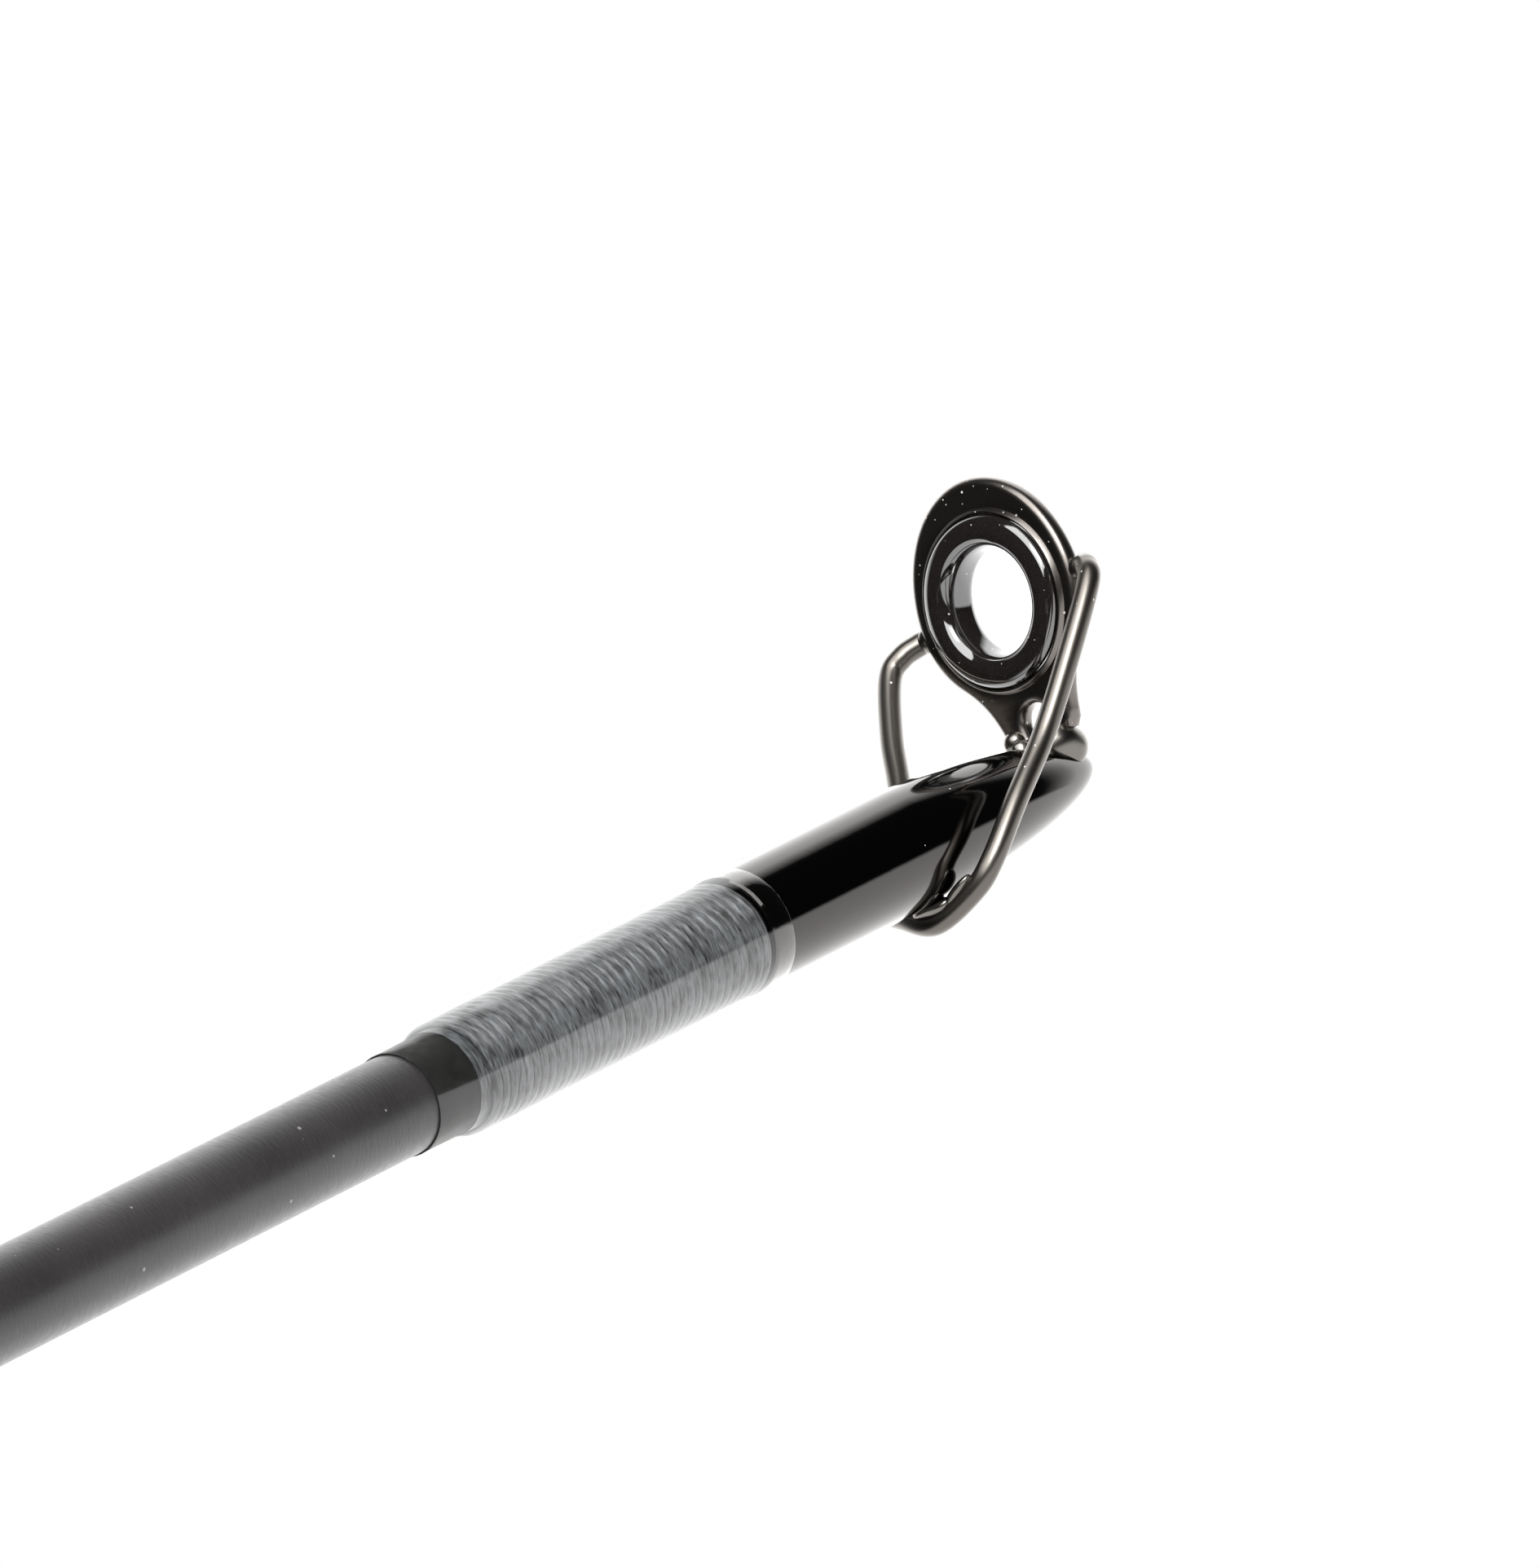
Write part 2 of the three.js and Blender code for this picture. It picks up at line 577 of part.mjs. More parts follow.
// Crank side: drive gear on its shaft, drag washers, star wheel, crank arm, nut and knob.
function addDrive() {
  const { x, z } = DRIVE;
  const onShaft = DRIVE_RADIUS + 0.08;
  const gear = gearShape(GEAR.teeth, x, z, Math.PI / 2, onShaft);
  add("drive_gear", slabXZ(gear, -17.4, -14.6), MATERIAL.brass);
  add("drive_shaft", barY(x, z, -32.4, -13.8, DRIVE_RADIUS), MATERIAL.steel);
  add("drag_washer", barY(x, z, -18.5, -17.5, 5.8, onShaft + 0.05), MATERIAL.carbon);
  add("drag_spring", barY(x, z, -25.2, -23.3, 3.6, onShaft + 0.05), MATERIAL.steel);
  add("star_drag", starWheel(x, z), MATERIAL.blackAluminium);
  add("crank_arm", crankArm(x, z), MATERIAL.silver);
  add("handle_nut", handleNut(x, z), MATERIAL.steel);
  addKnob();
}

// Five rounded arms round a hub.
function starWheel(x, z) {
  const arms = 5;
  const shape = new THREE.Shape();
  const steps = arms * 8;
  for (let i = 0; i < steps; i++) {
    const angle = (i * 2 * Math.PI) / steps;
    const radius = 8.6 + 3.4 * Math.cos(arms * angle);
    const point = [x + radius * Math.cos(angle), z + radius * Math.sin(angle)];
    if (i === 0) shape.moveTo(...point);
    else shape.lineTo(...point);
  }
  shape.closePath();
  const bore = barY(x, z, -28.5, -24, holeRadius(DRIVE_RADIUS, RUN, SMALL_SIDES));
  return cut(join(slabXZ(shape, -27.4, -25.3), barY(x, z, -28.1, -27, 4.2)), bore);
}

function crankArm(x, z) {
  const { reach, near, far, angle } = CRANK;
  const arm = new THREE.Shape();
  arm.absarc(0, 0, 5, Math.PI / 2, (3 * Math.PI) / 2, false);
  arm.lineTo(reach, -3.6);
  arm.absarc(reach, 0, 3.6, -Math.PI / 2, Math.PI / 2, false);
  arm.closePath();
  arm.holes.push(circleHole(DRIVE_RADIUS + 0.08), circleHole(KNOB.pin + 0.08, reach));
  const slab = slabXZ(arm, near, far);
  return slab.rotateY(-angle).translate(x, 0, z);
}

function handleNut(x, z) {
  return barY(x, z, -32.6, CRANK.far - 0.05, 3.9, holeRadius(DRIVE_RADIUS, GAP, 6), 6);
}

function addKnob() {
  const x = DRIVE.x + CRANK.reach * Math.cos(CRANK.angle);
  const z = DRIVE.z + CRANK.reach * Math.sin(CRANK.angle);
  const { near, far, pin } = KNOB;
  const head = far - 0.1;
  add(
    "knob_pin",
    turnedY([
      [CRANK.near - 0.1, 0], [CRANK.near - 0.1, pin], [head, pin], [head, 2.6], [head - 0.9, 2.2], [head - 0.9, 0],
    ], SMALL_SIDES).translate(x, 0, z),
    MATERIAL.steel,
  );
  const bore = holeRadius(pin, RUN, SMALL_SIDES);
  add(
    "crank_knob",
    turnedY([
      [near, bore], [near, 4], [near - 2, 4.8], [near - 6, 5.6], [near - 10, 7], [far + 1.6, 7.3], [far, 6], [far, bore],
    ], SMALL_SIDES).translate(x, 0, z),
    MATERIAL.rubber,
  );
}

// Controls on the side plates: casting brake cap, free-spool lever and click switch.
function addControls() {
  const { x, z } = REEL;
  add(
    "cast_control_cap",
    turnedY([[17.6, 0], [17.6, 5.4], [20.2, 5.2], [21, 4.6], [21, 0]]).translate(x, 0, z),
    MATERIAL.silver,
  );
  const pivot = new THREE.Shape().absarc(0, 0, 2.6, 0, 2 * Math.PI, false);
  const arm = new THREE.Shape();
  arm.moveTo(-1, -1.6);
  arm.lineTo(-11, 3.4);
  arm.absarc(-11.4, 5, 1.7, -Math.PI / 2, (Math.PI * 2) / 3, true);
  arm.lineTo(1, 1.8);
  arm.closePath();
  const lever = join(slabXZ(pivot, -24.6, -23.1), slabXZ(arm, -24.6, -23.2));
  add("free_spool_lever", lever.translate(LEVER.x, 0, LEVER.z), MATERIAL.blackAluminium);
  add("click_button", box([x + 5.8, x + 10.2], [17.6, 19.2], [z + 5, z + 8]), MATERIAL.silver);
}

part.name = "fishing_rod_and_reel";
addBlank();
addHandle();
addGuides();
addTipTop();
addReelBody();
addSpool();
addDrive();
addControls();

export default part;
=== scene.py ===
"""Looks of a short overhead fishing rod with a round reel, built round its packed model."""
import math
import random

import bpy
from mathutils import Matrix, Vector


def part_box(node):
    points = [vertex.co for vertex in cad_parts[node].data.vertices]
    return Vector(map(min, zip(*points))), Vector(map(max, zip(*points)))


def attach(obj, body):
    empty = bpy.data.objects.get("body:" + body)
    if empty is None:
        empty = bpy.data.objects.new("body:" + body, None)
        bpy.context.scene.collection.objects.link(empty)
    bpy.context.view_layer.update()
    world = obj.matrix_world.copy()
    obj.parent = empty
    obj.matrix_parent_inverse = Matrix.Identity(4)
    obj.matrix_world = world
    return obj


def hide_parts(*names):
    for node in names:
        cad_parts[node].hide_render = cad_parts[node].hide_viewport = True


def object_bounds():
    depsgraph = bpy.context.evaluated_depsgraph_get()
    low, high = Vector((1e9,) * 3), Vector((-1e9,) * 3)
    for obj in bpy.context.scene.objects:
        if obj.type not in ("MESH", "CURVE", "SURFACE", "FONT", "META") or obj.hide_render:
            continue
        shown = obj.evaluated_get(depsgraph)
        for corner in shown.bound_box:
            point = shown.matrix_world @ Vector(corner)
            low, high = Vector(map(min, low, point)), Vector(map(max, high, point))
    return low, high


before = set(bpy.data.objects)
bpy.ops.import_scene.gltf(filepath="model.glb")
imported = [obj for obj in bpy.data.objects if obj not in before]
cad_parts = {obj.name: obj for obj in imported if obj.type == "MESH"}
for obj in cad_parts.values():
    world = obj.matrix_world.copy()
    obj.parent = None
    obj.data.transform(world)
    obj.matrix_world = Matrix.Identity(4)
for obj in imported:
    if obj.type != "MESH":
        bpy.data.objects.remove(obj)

bl_info = {
    "name": "Fishing Rod and Reel",
    "version": (1, 0, 0),
    "blender": (4, 5, 0),
    "location": "View3D > Sidebar > Rod",
    "description": "Builds the tip-top, guides, handle and reel of a short overhead rod",
    "category": "Object",
}

MM = 0.001
CAD_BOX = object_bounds()


def low(node):
    """Lowest corner of a CAD node in millimetres."""
    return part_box(node)[0] / MM


def high(node):
    """Highest corner of a CAD node in millimetres."""
    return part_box(node)[1] / MM


def middle(node):
    return (low(node) + high(node)) / 2


# Places that the pieces share, in millimetres, read from the packed model.
NOSE_X = high("tip_tube").x
TUBE_RADIUS = high("tip_tube").y
TUBE_REAR = low("tip_tube").x
RING_X = NOSE_X - 0.22
RING_Z = 3.76
RING_LEAN = math.radians(10.9)
SPOOL = Vector((middle("bearing_left").x, 0, middle("bearing_left").z))
DRIVE = Vector((middle("drive_shaft").x, 0, middle("drive_shaft").z))
KNOB = Vector((middle("knob_pin").x, 0, middle("knob_pin").z))


# ---------- colour and nodes ----------


def linear(hex_colour):
    """Linear RGBA of an sRGB hex colour such as "#1c1c1e"."""
    channels = [int(hex_colour[i : i + 2], 16) / 255 for i in (1, 3, 5)]
    return (*(c / 12.92 if c <= 0.04045 else ((c + 0.055) / 1.055) ** 2.4 for c in channels), 1.0)


def node(tree, kind, props=None, values=None, links=None):
    """One node with its settings, its input values and the sockets that feed it."""
    made = tree.nodes.new(kind)
    for key, value in (props or {}).items():
        setattr(made, key, value)
    for key, value in (values or {}).items():
        made.inputs[key].default_value = value
    for key, socket in (links or {}).items():
        tree.links.new(socket, made.inputs[key])
    return made


def new_material(name):
    """An empty material: its tree, its object coordinates in metres and its output."""
    material = bpy.data.materials.new(name)
    material.use_nodes = True
    tree = material.node_tree
    tree.nodes.clear()
    place = node(tree, "ShaderNodeTexCoord").outputs["Object"]
    out = node(tree, "ShaderNodeOutputMaterial")
    return material, tree, place, out


def per_metre(size_mm):
    """Texture scale that gives features of this size in millimetres."""
    return 1 / (size_mm * MM)


def grain(tree, place, size_mm, detail=3.0, stretch=(1, 1, 1)):
    """Noise whose grains are about this size; stretch below 1 draws them out along an axis."""
    turned_to = node(tree, "ShaderNodeMapping", values={"Scale": stretch}, links={"Vector": place})
    return node(
        tree,
        "ShaderNodeTexNoise",
        values={"Scale": per_metre(size_mm), "Detail": detail},
        links={"Vector": turned_to.outputs["Vector"]},
    ).outputs["Fac"]


def spread(tree, fac, low_value, high_value, low_at=0.3, high_at=0.7):
    """A factor remapped to a range of values."""
    return node(
        tree,
        "ShaderNodeMapRange",
        values={"From Min": low_at, "From Max": high_at, "To Min": low_value, "To Max": high_value},
        links={"Value": fac},
    ).outputs["Result"]


def two_tone(tree, fac, first, second):
    """Colour that runs from one tone to another with a factor; a tone is a hex colour or a socket."""
    values, links = {}, {0: fac}
    for socket, tone in ((6, first), (7, second)):
        if isinstance(tone, str):
            values[socket] = linear(tone)
        else:
            links[socket] = tone
    return node(tree, "ShaderNodeMix", props={"data_type": "RGBA"}, values=values, links=links).outputs[2]


def bump(tree, height, depth_mm):
    """Surface relief of a real depth in millimetres."""
    return node(
        tree,
        "ShaderNodeBump",
        values={"Strength": 1.0, "Distance": depth_mm * MM},
        links={"Height": height},
    ).outputs["Normal"]


def surface(tree, out, values, links):
    """The Principled shader that ends a material."""
    shader = node(tree, "ShaderNodeBsdfPrincipled", values=values, links=links)
    tree.links.new(shader.outputs["BSDF"], out.inputs["Surface"])


def dust(tree, place, spacing_mm, radius_share):
    """1 on sparse round specks, 0 elsewhere."""
    cells = node(
        tree,
        "ShaderNodeTexVoronoi",
        props={"feature": "F1"},
        values={"Scale": per_metre(spacing_mm), "Randomness": 1.0},
        links={"Vector": place},
    )
    size = node(tree, "ShaderNodeSeparateColor", links={"Color": cells.outputs["Color"]})
    reach = spread(tree, size.outputs["Red"], 0.0, radius_share, 0.45, 1.0)
    return node(
        tree, "ShaderNodeMath", props={"operation": "LESS_THAN"},
        links={0: cells.outputs["Distance"], 1: reach},
    ).outputs["Value"]


# ---------- materials ----------


def sanded_glass_fibre():
    """Resin-bound glass fibre, centreless sanded: matt, with faint hoop scratches and a soft sheen."""
    material, tree, place, out = new_material("sanded_glass_fibre")
    scratches = grain(tree, place, 0.09, 2.0, (2.0, 0.35, 0.35))
    cloud = grain(tree, place, 2.4, 3.0)
    specks = dust(tree, place, 0.5, 0.09)
    body = two_tone(tree, spread(tree, cloud, 0, 1), "#1b191a", "#252323")
    colour = two_tone(tree, specks, body, "#6f6c69")
    surface(
        tree, out, {"IOR": 1.5, "Sheen Weight": 0.12, "Sheen Roughness": 0.4},
        {
            "Base Color": colour,
            "Roughness": spread(tree, scratches, 0.34, 0.46),
            "Normal": bump(tree, scratches, 0.004),
        },
    )
    return material


def resin_soaked_fibre():
    """Sanded glass fibre wetted by the coat: the resin fills the scratches, so it turns black."""
    material, tree, place, out = new_material("resin_soaked_fibre")
    cloud = grain(tree, place, 0.3, 2.0)
    surface(
        tree, out, {"IOR": 1.45},
        {"Base Color": two_tone(tree, cloud, "#0b0a0a", "#131212"), "Roughness": spread(tree, cloud, 0.5, 0.7)},
    )
    return material


def winding_thread(name, dark, light):
    """Twisted nylon thread: soft sheen, streaks of lighter filaments along each turn."""
    material, tree, place, out = new_material(name)
    filaments = grain(tree, place, 0.075, 4.0, (2.4, 0.3, 0.3))
    patches = grain(tree, place, 0.5, 2.0)
    both = node(
        tree, "ShaderNodeMath", props={"operation": "MULTIPLY_ADD"}, values={1: 0.45},
        links={0: patches, 2: filaments},
    ).outputs["Value"]
    surface(
        tree, out, {"IOR": 1.53, "Roughness": 0.42, "Sheen Weight": 0.08},
        {
            "Base Color": two_tone(tree, spread(tree, both, 0, 1, 0.55, 0.92), dark, light),
            "Normal": bump(tree, filaments, 0.012),
        },
    )
    return material


def clear_epoxy():
    """Two-part epoxy, brushed on and turned while it cured: clear, glass smooth and slightly wavy."""
    material, tree, place, out = new_material("clear_epoxy")
    waves = bump(tree, grain(tree, place, 3.2, 1.0), 0.012)
    rim = node(tree, "ShaderNodeFresnel", values={"IOR": 1.58}, links={"Normal": waves})
    inside = node(tree, "ShaderNodeNewGeometry").outputs["Backfacing"]
    outer = node(
        tree, "ShaderNodeMath", props={"operation": "SUBTRACT", "use_clamp": True},
        links={0: rim.outputs["Fac"], 1: inside},
    )
    gloss = node(
        tree, "ShaderNodeBsdfGlossy", values={"Roughness": 0.03, "Color": (1, 1, 1, 1)},
        links={"Normal": waves},
    )
    clear = node(tree, "ShaderNodeBsdfTransparent", values={"Color": (0.97, 0.97, 0.965, 1)})
    mixed = node(
        tree, "ShaderNodeMixShader",
        links={0: outer.outputs["Value"], 1: clear.outputs["BSDF"], 2: gloss.outputs["BSDF"]},
    )
    tree.links.new(mixed.outputs["Shader"], out.inputs["Surface"])
    return material


def black_chrome(name="black_chrome", tone="#4c4a49", roughness=0.07, speck_mm=0.45):
    """Polished steel under black chrome plate: a dark mirror with a fine bloom of pale specks."""
    material, tree, place, out = new_material(name)
    specks = dust(tree, place, speck_mm, 0.028 / speck_mm)
    ripple = grain(tree, place, 0.8, 2.0)
    surface(
        tree, out, {},
        {
            "Metallic": spread(tree, specks, 1, 0, 0, 1),
            "Base Color": two_tone(tree, specks, tone, "#b5b2ae"),
            "Roughness": spread(tree, specks, roughness, 0.6, 0, 1),
            "Normal": bump(tree, ripple, 0.002),
        },
    )
    return material


def polished_ceramic():
    """Black zirconia ring, diamond polished: near black with a hard white gloss."""
    material, tree, place, out = new_material("polished_ceramic")
    haze = grain(tree, place, 0.2, 2.0)
    specks = dust(tree, place, 0.18, 0.12)
    surface(
        tree, out, {"IOR": 2.4, "Metallic": 0.0},
        {"Base Color": two_tone(tree, specks, "#161312", "#b7b4b0"), "Roughness": spread(tree, haze, 0.05, 0.09)},
    )
    return material


def closed_cell_foam():
    """EVA foam, turned and ground: matt charcoal with fine open pores."""
    material, tree, place, out = new_material("closed_cell_foam")
    pores = node(
        tree, "ShaderNodeTexVoronoi", props={"feature": "SMOOTH_F1"},
        values={"Scale": per_metre(0.5), "Smoothness": 0.3}, links={"Vector": place},
    ).outputs["Distance"]
    cloud = grain(tree, place, 6.0, 4.0)
    surface(
        tree, out, {"IOR": 1.45, "Roughness": 0.88, "Sheen Weight": 0.25, "Sheen Roughness": 0.6},
        {
            "Base Color": two_tone(tree, spread(tree, cloud, 0, 1), "#161617", "#202022"),
            "Normal": bump(tree, pores, 0.05),
        },
    )
    return material


def moulded_rubber():
    """Injection-moulded rubber with a fine spark-eroded texture."""
    material, tree, place, out = new_material("moulded_rubber")
    texture = grain(tree, place, 0.35, 4.0)
    surface(
        tree, out, {"IOR": 1.52, "Base Color": linear("#1b1b1c")},
        {"Roughness": spread(tree, texture, 0.6, 0.78), "Normal": bump(tree, texture, 0.06)},
    )
    return material


def glass_filled_nylon():
    """Glass-filled nylon, moulded: dark, satin, with a light orange peel."""
    material, tree, place, out = new_material("glass_filled_nylon")
    peel = grain(tree, place, 0.7, 3.0)
    surface(
        tree, out, {"IOR": 1.53},
        {
            "Base Color": two_tone(tree, spread(tree, peel, 0, 1), "#1f2023", "#27282b"),
            "Roughness": spread(tree, peel, 0.36, 0.5),
            "Normal": bump(tree, peel, 0.02),
        },
    )
    return material


def anodised_aluminium(name, tone, edge_tone, grit_mm, relief_mm, roughness):
    """Anodised aluminium: the grit of blasting or the rings of turning show under the dye."""
    material, tree, place, out = new_material(name)
    grit = grain(tree, place, grit_mm, 3.0, (1, 0.4, 1))
    wear = node(tree, "ShaderNodeNewGeometry").outputs["Pointiness"]
    worn = spread(tree, wear, 0, 1, 0.53, 0.6)
    surface(
        tree, out, {"Metallic": 1.0},
        {
            "Base Color": two_tone(tree, worn, tone, edge_tone),
            "Roughness": spread(tree, grit, roughness - 0.06, roughness + 0.08),
            "Normal": bump(tree, grit, relief_mm),
        },
    )
    return material


def ground_steel():
    """Stainless steel, centreless ground: bright with fine lines round the shaft."""
    material, tree, place, out = new_material("ground_steel")
    lines = grain(tree, place, 0.12, 2.0, (1, 3.0, 1))
    surface(
        tree, out, {"Metallic": 1.0, "Base Color": linear("#b9b8b6")},
        {"Roughness": spread(tree, lines, 0.16, 0.3), "Normal": bump(tree, lines, 0.002)},
    )
    return material


def cut_brass():
    """Free-cutting brass, hobbed: warm metal with fine tool lines."""
    material, tree, place, out = new_material("cut_brass")
    lines = grain(tree, place, 0.15, 2.0, (1, 2.5, 1))
    surface(
        tree, out, {"Metallic": 1.0},
        {
            "Base Color": two_tone(tree, spread(tree, lines, 0, 1), "#b98f45", "#d4ad63"),
            "Roughness": spread(tree, lines, 0.22, 0.36),
        },
    )
    return material


def greased_carbon():
    """Woven carbon drag disc, greased: dark cloth squares with a wet sheen."""
    material, tree, place, out = new_material("greased_carbon")
    squares = node(
        tree, "ShaderNodeTexChecker", values={"Scale": per_metre(0.8)}, links={"Vector": place},
    ).outputs["Fac"]
    surface(
        tree, out, {"IOR": 1.5, "Coat Weight": 0.5, "Roughness": 0.45},
        {"Base Color": two_tone(tree, squares, "#1c1c1d", "#2a2a2c")},
    )
    return material


def hot_melt():
    """Amber hot-melt adhesive, solidified in the tube: waxy and smooth."""
    material, tree, place, out = new_material("hot_melt")
    cloud = grain(tree, place, 0.4, 2.0)
    surface(
        tree, out, {"IOR": 1.49, "Roughness": 0.35, "Subsurface Weight": 0.2},
        {"Base Color": two_tone(tree, cloud, "#b08a45", "#cbab6c")},
    )
    return material


def pale_floor():
    """Matt white board under the object."""
    material, tree, place, out = new_material("pale_floor")
    fibre = grain(tree, place, 3.0, 3.0)
    surface(
        tree, out, {"Roughness": 0.9, "IOR": 1.4},
        {"Base Color": two_tone(tree, fibre, "#f4f4f2", "#f8f8f6")},
    )
    return material


# ---------- mesh building, all in millimetres ----------


def make_object(name, verts, faces, material, body):
    """A smooth-shaded mesh object on a body, from points in millimetres."""
    mesh = bpy.data.meshes.new(name)
    mesh.from_pydata([Vector(v) * MM for v in verts], [], faces)
    mesh.validate()
    return finish_object(name, mesh, material, body)


def finish_object(name, mesh, material, body):
    """Links a mesh in metres as an object with one material, riding on a body."""
    made = bpy.data.objects.new(name, mesh)
    bpy.context.scene.collection.objects.link(made)
    mesh.materials.clear()
    mesh.materials.append(material)
    mesh.shade_smooth()
    mesh.set_sharp_from_angle(angle=math.radians(38))
    if body:
        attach(made, body)
    return made


def rounded(profile, radius, steps=4, closed=True):
    """The outline with its corners turned to arcs of about this radius."""
    corners = []
    count = len(profile)
    for i, here in enumerate(profile):
        here = Vector(here)
        if not closed and i in (0, count - 1):
            corners.append(here)
            continue
        before, after = Vector(profile[i - 1]), Vector(profile[(i + 1) % count])
        into, away = before - here, after - here
        reach = min(radius, into.length * 0.45, away.length * 0.45)
        if reach < 1e-4:
            corners.append(here)
            continue
        start = here + into.normalized() * reach
        end = here + away.normalized() * reach
        for k in range(steps + 1):
            t = k / steps
            corners.append(start * (1 - t) ** 2 + here * 2 * t * (1 - t) + end * t * t)
    return corners


def lathe_mesh(profile, axis="X", centre=(0, 0, 0), segments=96, shape=None):
    """Points and faces of a solid of revolution; the profile lists [along, radius].

    A profile whose ends lie on the axis is capped there, and any other closes on itself.
    shape, if given, moves each point of the result.
    """
    points = [Vector(p) for p in profile]
    on_axis = points[0].y < 1e-6 and points[-1].y < 1e-6
    centre = Vector(centre)
    verts, rings = [], []
    for along, radius in points:
        ring = []
        for k in range(1 if radius < 1e-6 else segments):
            angle = 2 * math.pi * k / segments
            across, up = radius * math.cos(angle), radius * math.sin(angle)
            point = Vector((along, across, up)) if axis == "X" else Vector((up, along, across))
            point += centre
            ring.append(len(verts))
            verts.append(shape(point) if shape else point)
        rings.append(ring)
    area = sum(
        a.x * b.y - b.x * a.y for a, b in zip(points, points[1:] + points[:1])
    )
    pairs = list(zip(rings, rings[1:])) + ([] if on_axis else [(rings[-1], rings[0])])
    faces = []
    for first, second in pairs:
        for k in range(segments):
            j = (k + 1) % segments
            corners = [first[k % len(first)], first[j % len(first)], second[j % len(second)], second[k % len(second)]]
            face = list(dict.fromkeys(corners))
            if len(face) > 2:
                faces.append(face if area < 0 else face[::-1])
    return verts, faces


def turned(name, profile, material, body, axis="X", centre=(0, 0, 0), segments=96, soft=0.0, shape=None):
    """A turned piece with its edges broken by the soft radius."""
    if soft:
        on_axis = profile[0][1] < 1e-6 and profile[-1][1] < 1e-6
        profile = rounded(profile, soft, closed=not on_axis)
    verts, faces = lathe_mesh(profile, axis, centre, segments, shape)
    return make_object(name, verts, faces, material, body)


def smooth_path(points, steps):
    """Catmull-Rom curve through the points, with this many steps in each span."""
    points = [Vector(p) for p in points]
    ends = [points[0] * 2 - points[1], *points, points[-1] * 2 - points[-2]]
    path = []
    for i in range(1, len(ends) - 2):
        p0, p1, p2, p3 = ends[i - 1 : i + 3]
        for k in range(steps):
            t = k / steps
            path.append(
                0.5 * (2 * p1 + (p2 - p0) * t + (2 * p0 - 5 * p1 + 4 * p2 - p3) * t * t
                       + (3 * p1 - p0 - 3 * p2 + p3) * t**3)
            )
    path.append(ends[-2])
    return path


def swept(path, radius, sides=20, squash=1.0, domed=True):
    """Points and faces of a round bar along a path; domed ends are half spheres."""
    path = [Vector(p) for p in path]
    if domed:
        first, last = (path[0] - path[1]).normalized(), (path[-1] - path[-2]).normalized()
        front = [path[0] + first * radius * math.sin(a) for a in (1.45, 1.1, 0.7, 0.35)]
        back = [path[-1] + last * radius * math.sin(a) for a in (0.35, 0.7, 1.1, 1.45)]
        scales = [math.cos(a) for a in (1.45, 1.1, 0.7, 0.35)]
        scales = scales + [1.0] * len(path) + scales[::-1]
        path = front + path + back
    else:
        scales = [1.0] * len(path)
    verts, faces = [], []
    normal = None
    for i, point in enumerate(path):
        tangent = (path[min(i + 1, len(path) - 1)] - path[max(i - 1, 0)]).normalized()
        if normal is None:
            normal = tangent.orthogonal().normalized()
        normal = (normal - tangent * normal.dot(tangent)).normalized()
        side = tangent.cross(normal)
        for k in range(sides):
            angle = 2 * math.pi * k / sides
            offset = normal * math.cos(angle) + side * math.sin(angle) * squash
            verts.append(point + offset * radius * scales[i])
    for i in range(len(path) - 1):
        for k in range(sides):
            j = (k + 1) % sides
            a, b = i * sides, (i + 1) * sides
            faces.append([a + k, a + j, b + j, b + k])
    faces.append(list(range(sides))[::-1])
    faces.append([(len(path) - 1) * sides + k for k in range(sides)])
    return verts, faces


def merged(*parts):
    """Several (points, faces) pairs as one."""
    verts, faces = [], []
    for some_verts, some_faces in parts:
        start = len(verts)
        verts.extend(some_verts)
        faces.extend([start + i for i in face] for face in some_faces)
    return verts, faces


def plate_mesh(outlines, thickness, edge, to_place):
    """A flat plate with rounded edges: the first outline is its border, the rest are holes."""
    curve = bpy.data.curves.new("outline", "CURVE")
    curve.dimensions, curve.fill_mode = "2D", "BOTH"
    curve.extrude, curve.bevel_depth = thickness / 2 - edge, edge
    curve.bevel_resolution, curve.offset = 3, -edge
    for outline in outlines:
        spline = curve.splines.new("POLY")
        spline.points.add(len(outline) - 1)
        for point, (x, y) in zip(spline.points, outline):
            point.co = (x, y, 0, 1)
        spline.use_cyclic_u = True
    holder = bpy.data.objects.new("outline", curve)
    bpy.context.scene.collection.objects.link(holder)
    bpy.context.view_layer.update()
    mesh = bpy.data.meshes.new_from_object(holder.evaluated_get(bpy.context.evaluated_depsgraph_get()))
    bpy.data.objects.remove(holder)
    bpy.data.curves.remove(curve)
    verts = [to_place @ v.co for v in mesh.vertices]
    faces = [list(p.vertices) for p in mesh.polygons]
    bpy.data.meshes.remove(mesh)
    return weld(verts, faces)


def weld(verts, faces):
    """Joins points that fall together."""
    seen, index, kept = {}, [], []
    for v in verts:
        key = tuple(round(c, 4) for c in v)
        if key not in seen:
            seen[key] = len(kept)
            kept.append(v)
        index.append(seen[key])
    out = []
    for face in faces:
        corners = list(dict.fromkeys(index[i] for i in face))
        if len(corners) > 2:
            out.append(corners)
    return kept, out


def bezier(p0, p1, p2, p3, steps=10):
    """Points of a cubic curve, its last point left out."""
    p0, p1, p2, p3 = (Vector(p) for p in (p0, p1, p2, p3))
    out = []
    for k in range(steps):
        t = k / steps
        out.append(p0 * (1 - t) ** 3 + p1 * 3 * t * (1 - t) ** 2 + p2 * 3 * t * t * (1 - t) + p3 * t**3)
    return out


def arc(cx, cy, rx, ry, start, end, steps):
    """Points of an elliptical arc, angles in degrees."""
    out = []
    for k in range(steps + 1):
        angle = math.radians(start + (end - start) * k / steps)
        out.append(Vector((cx + rx * math.cos(angle), cy + ry * math.sin(angle))))
    return out


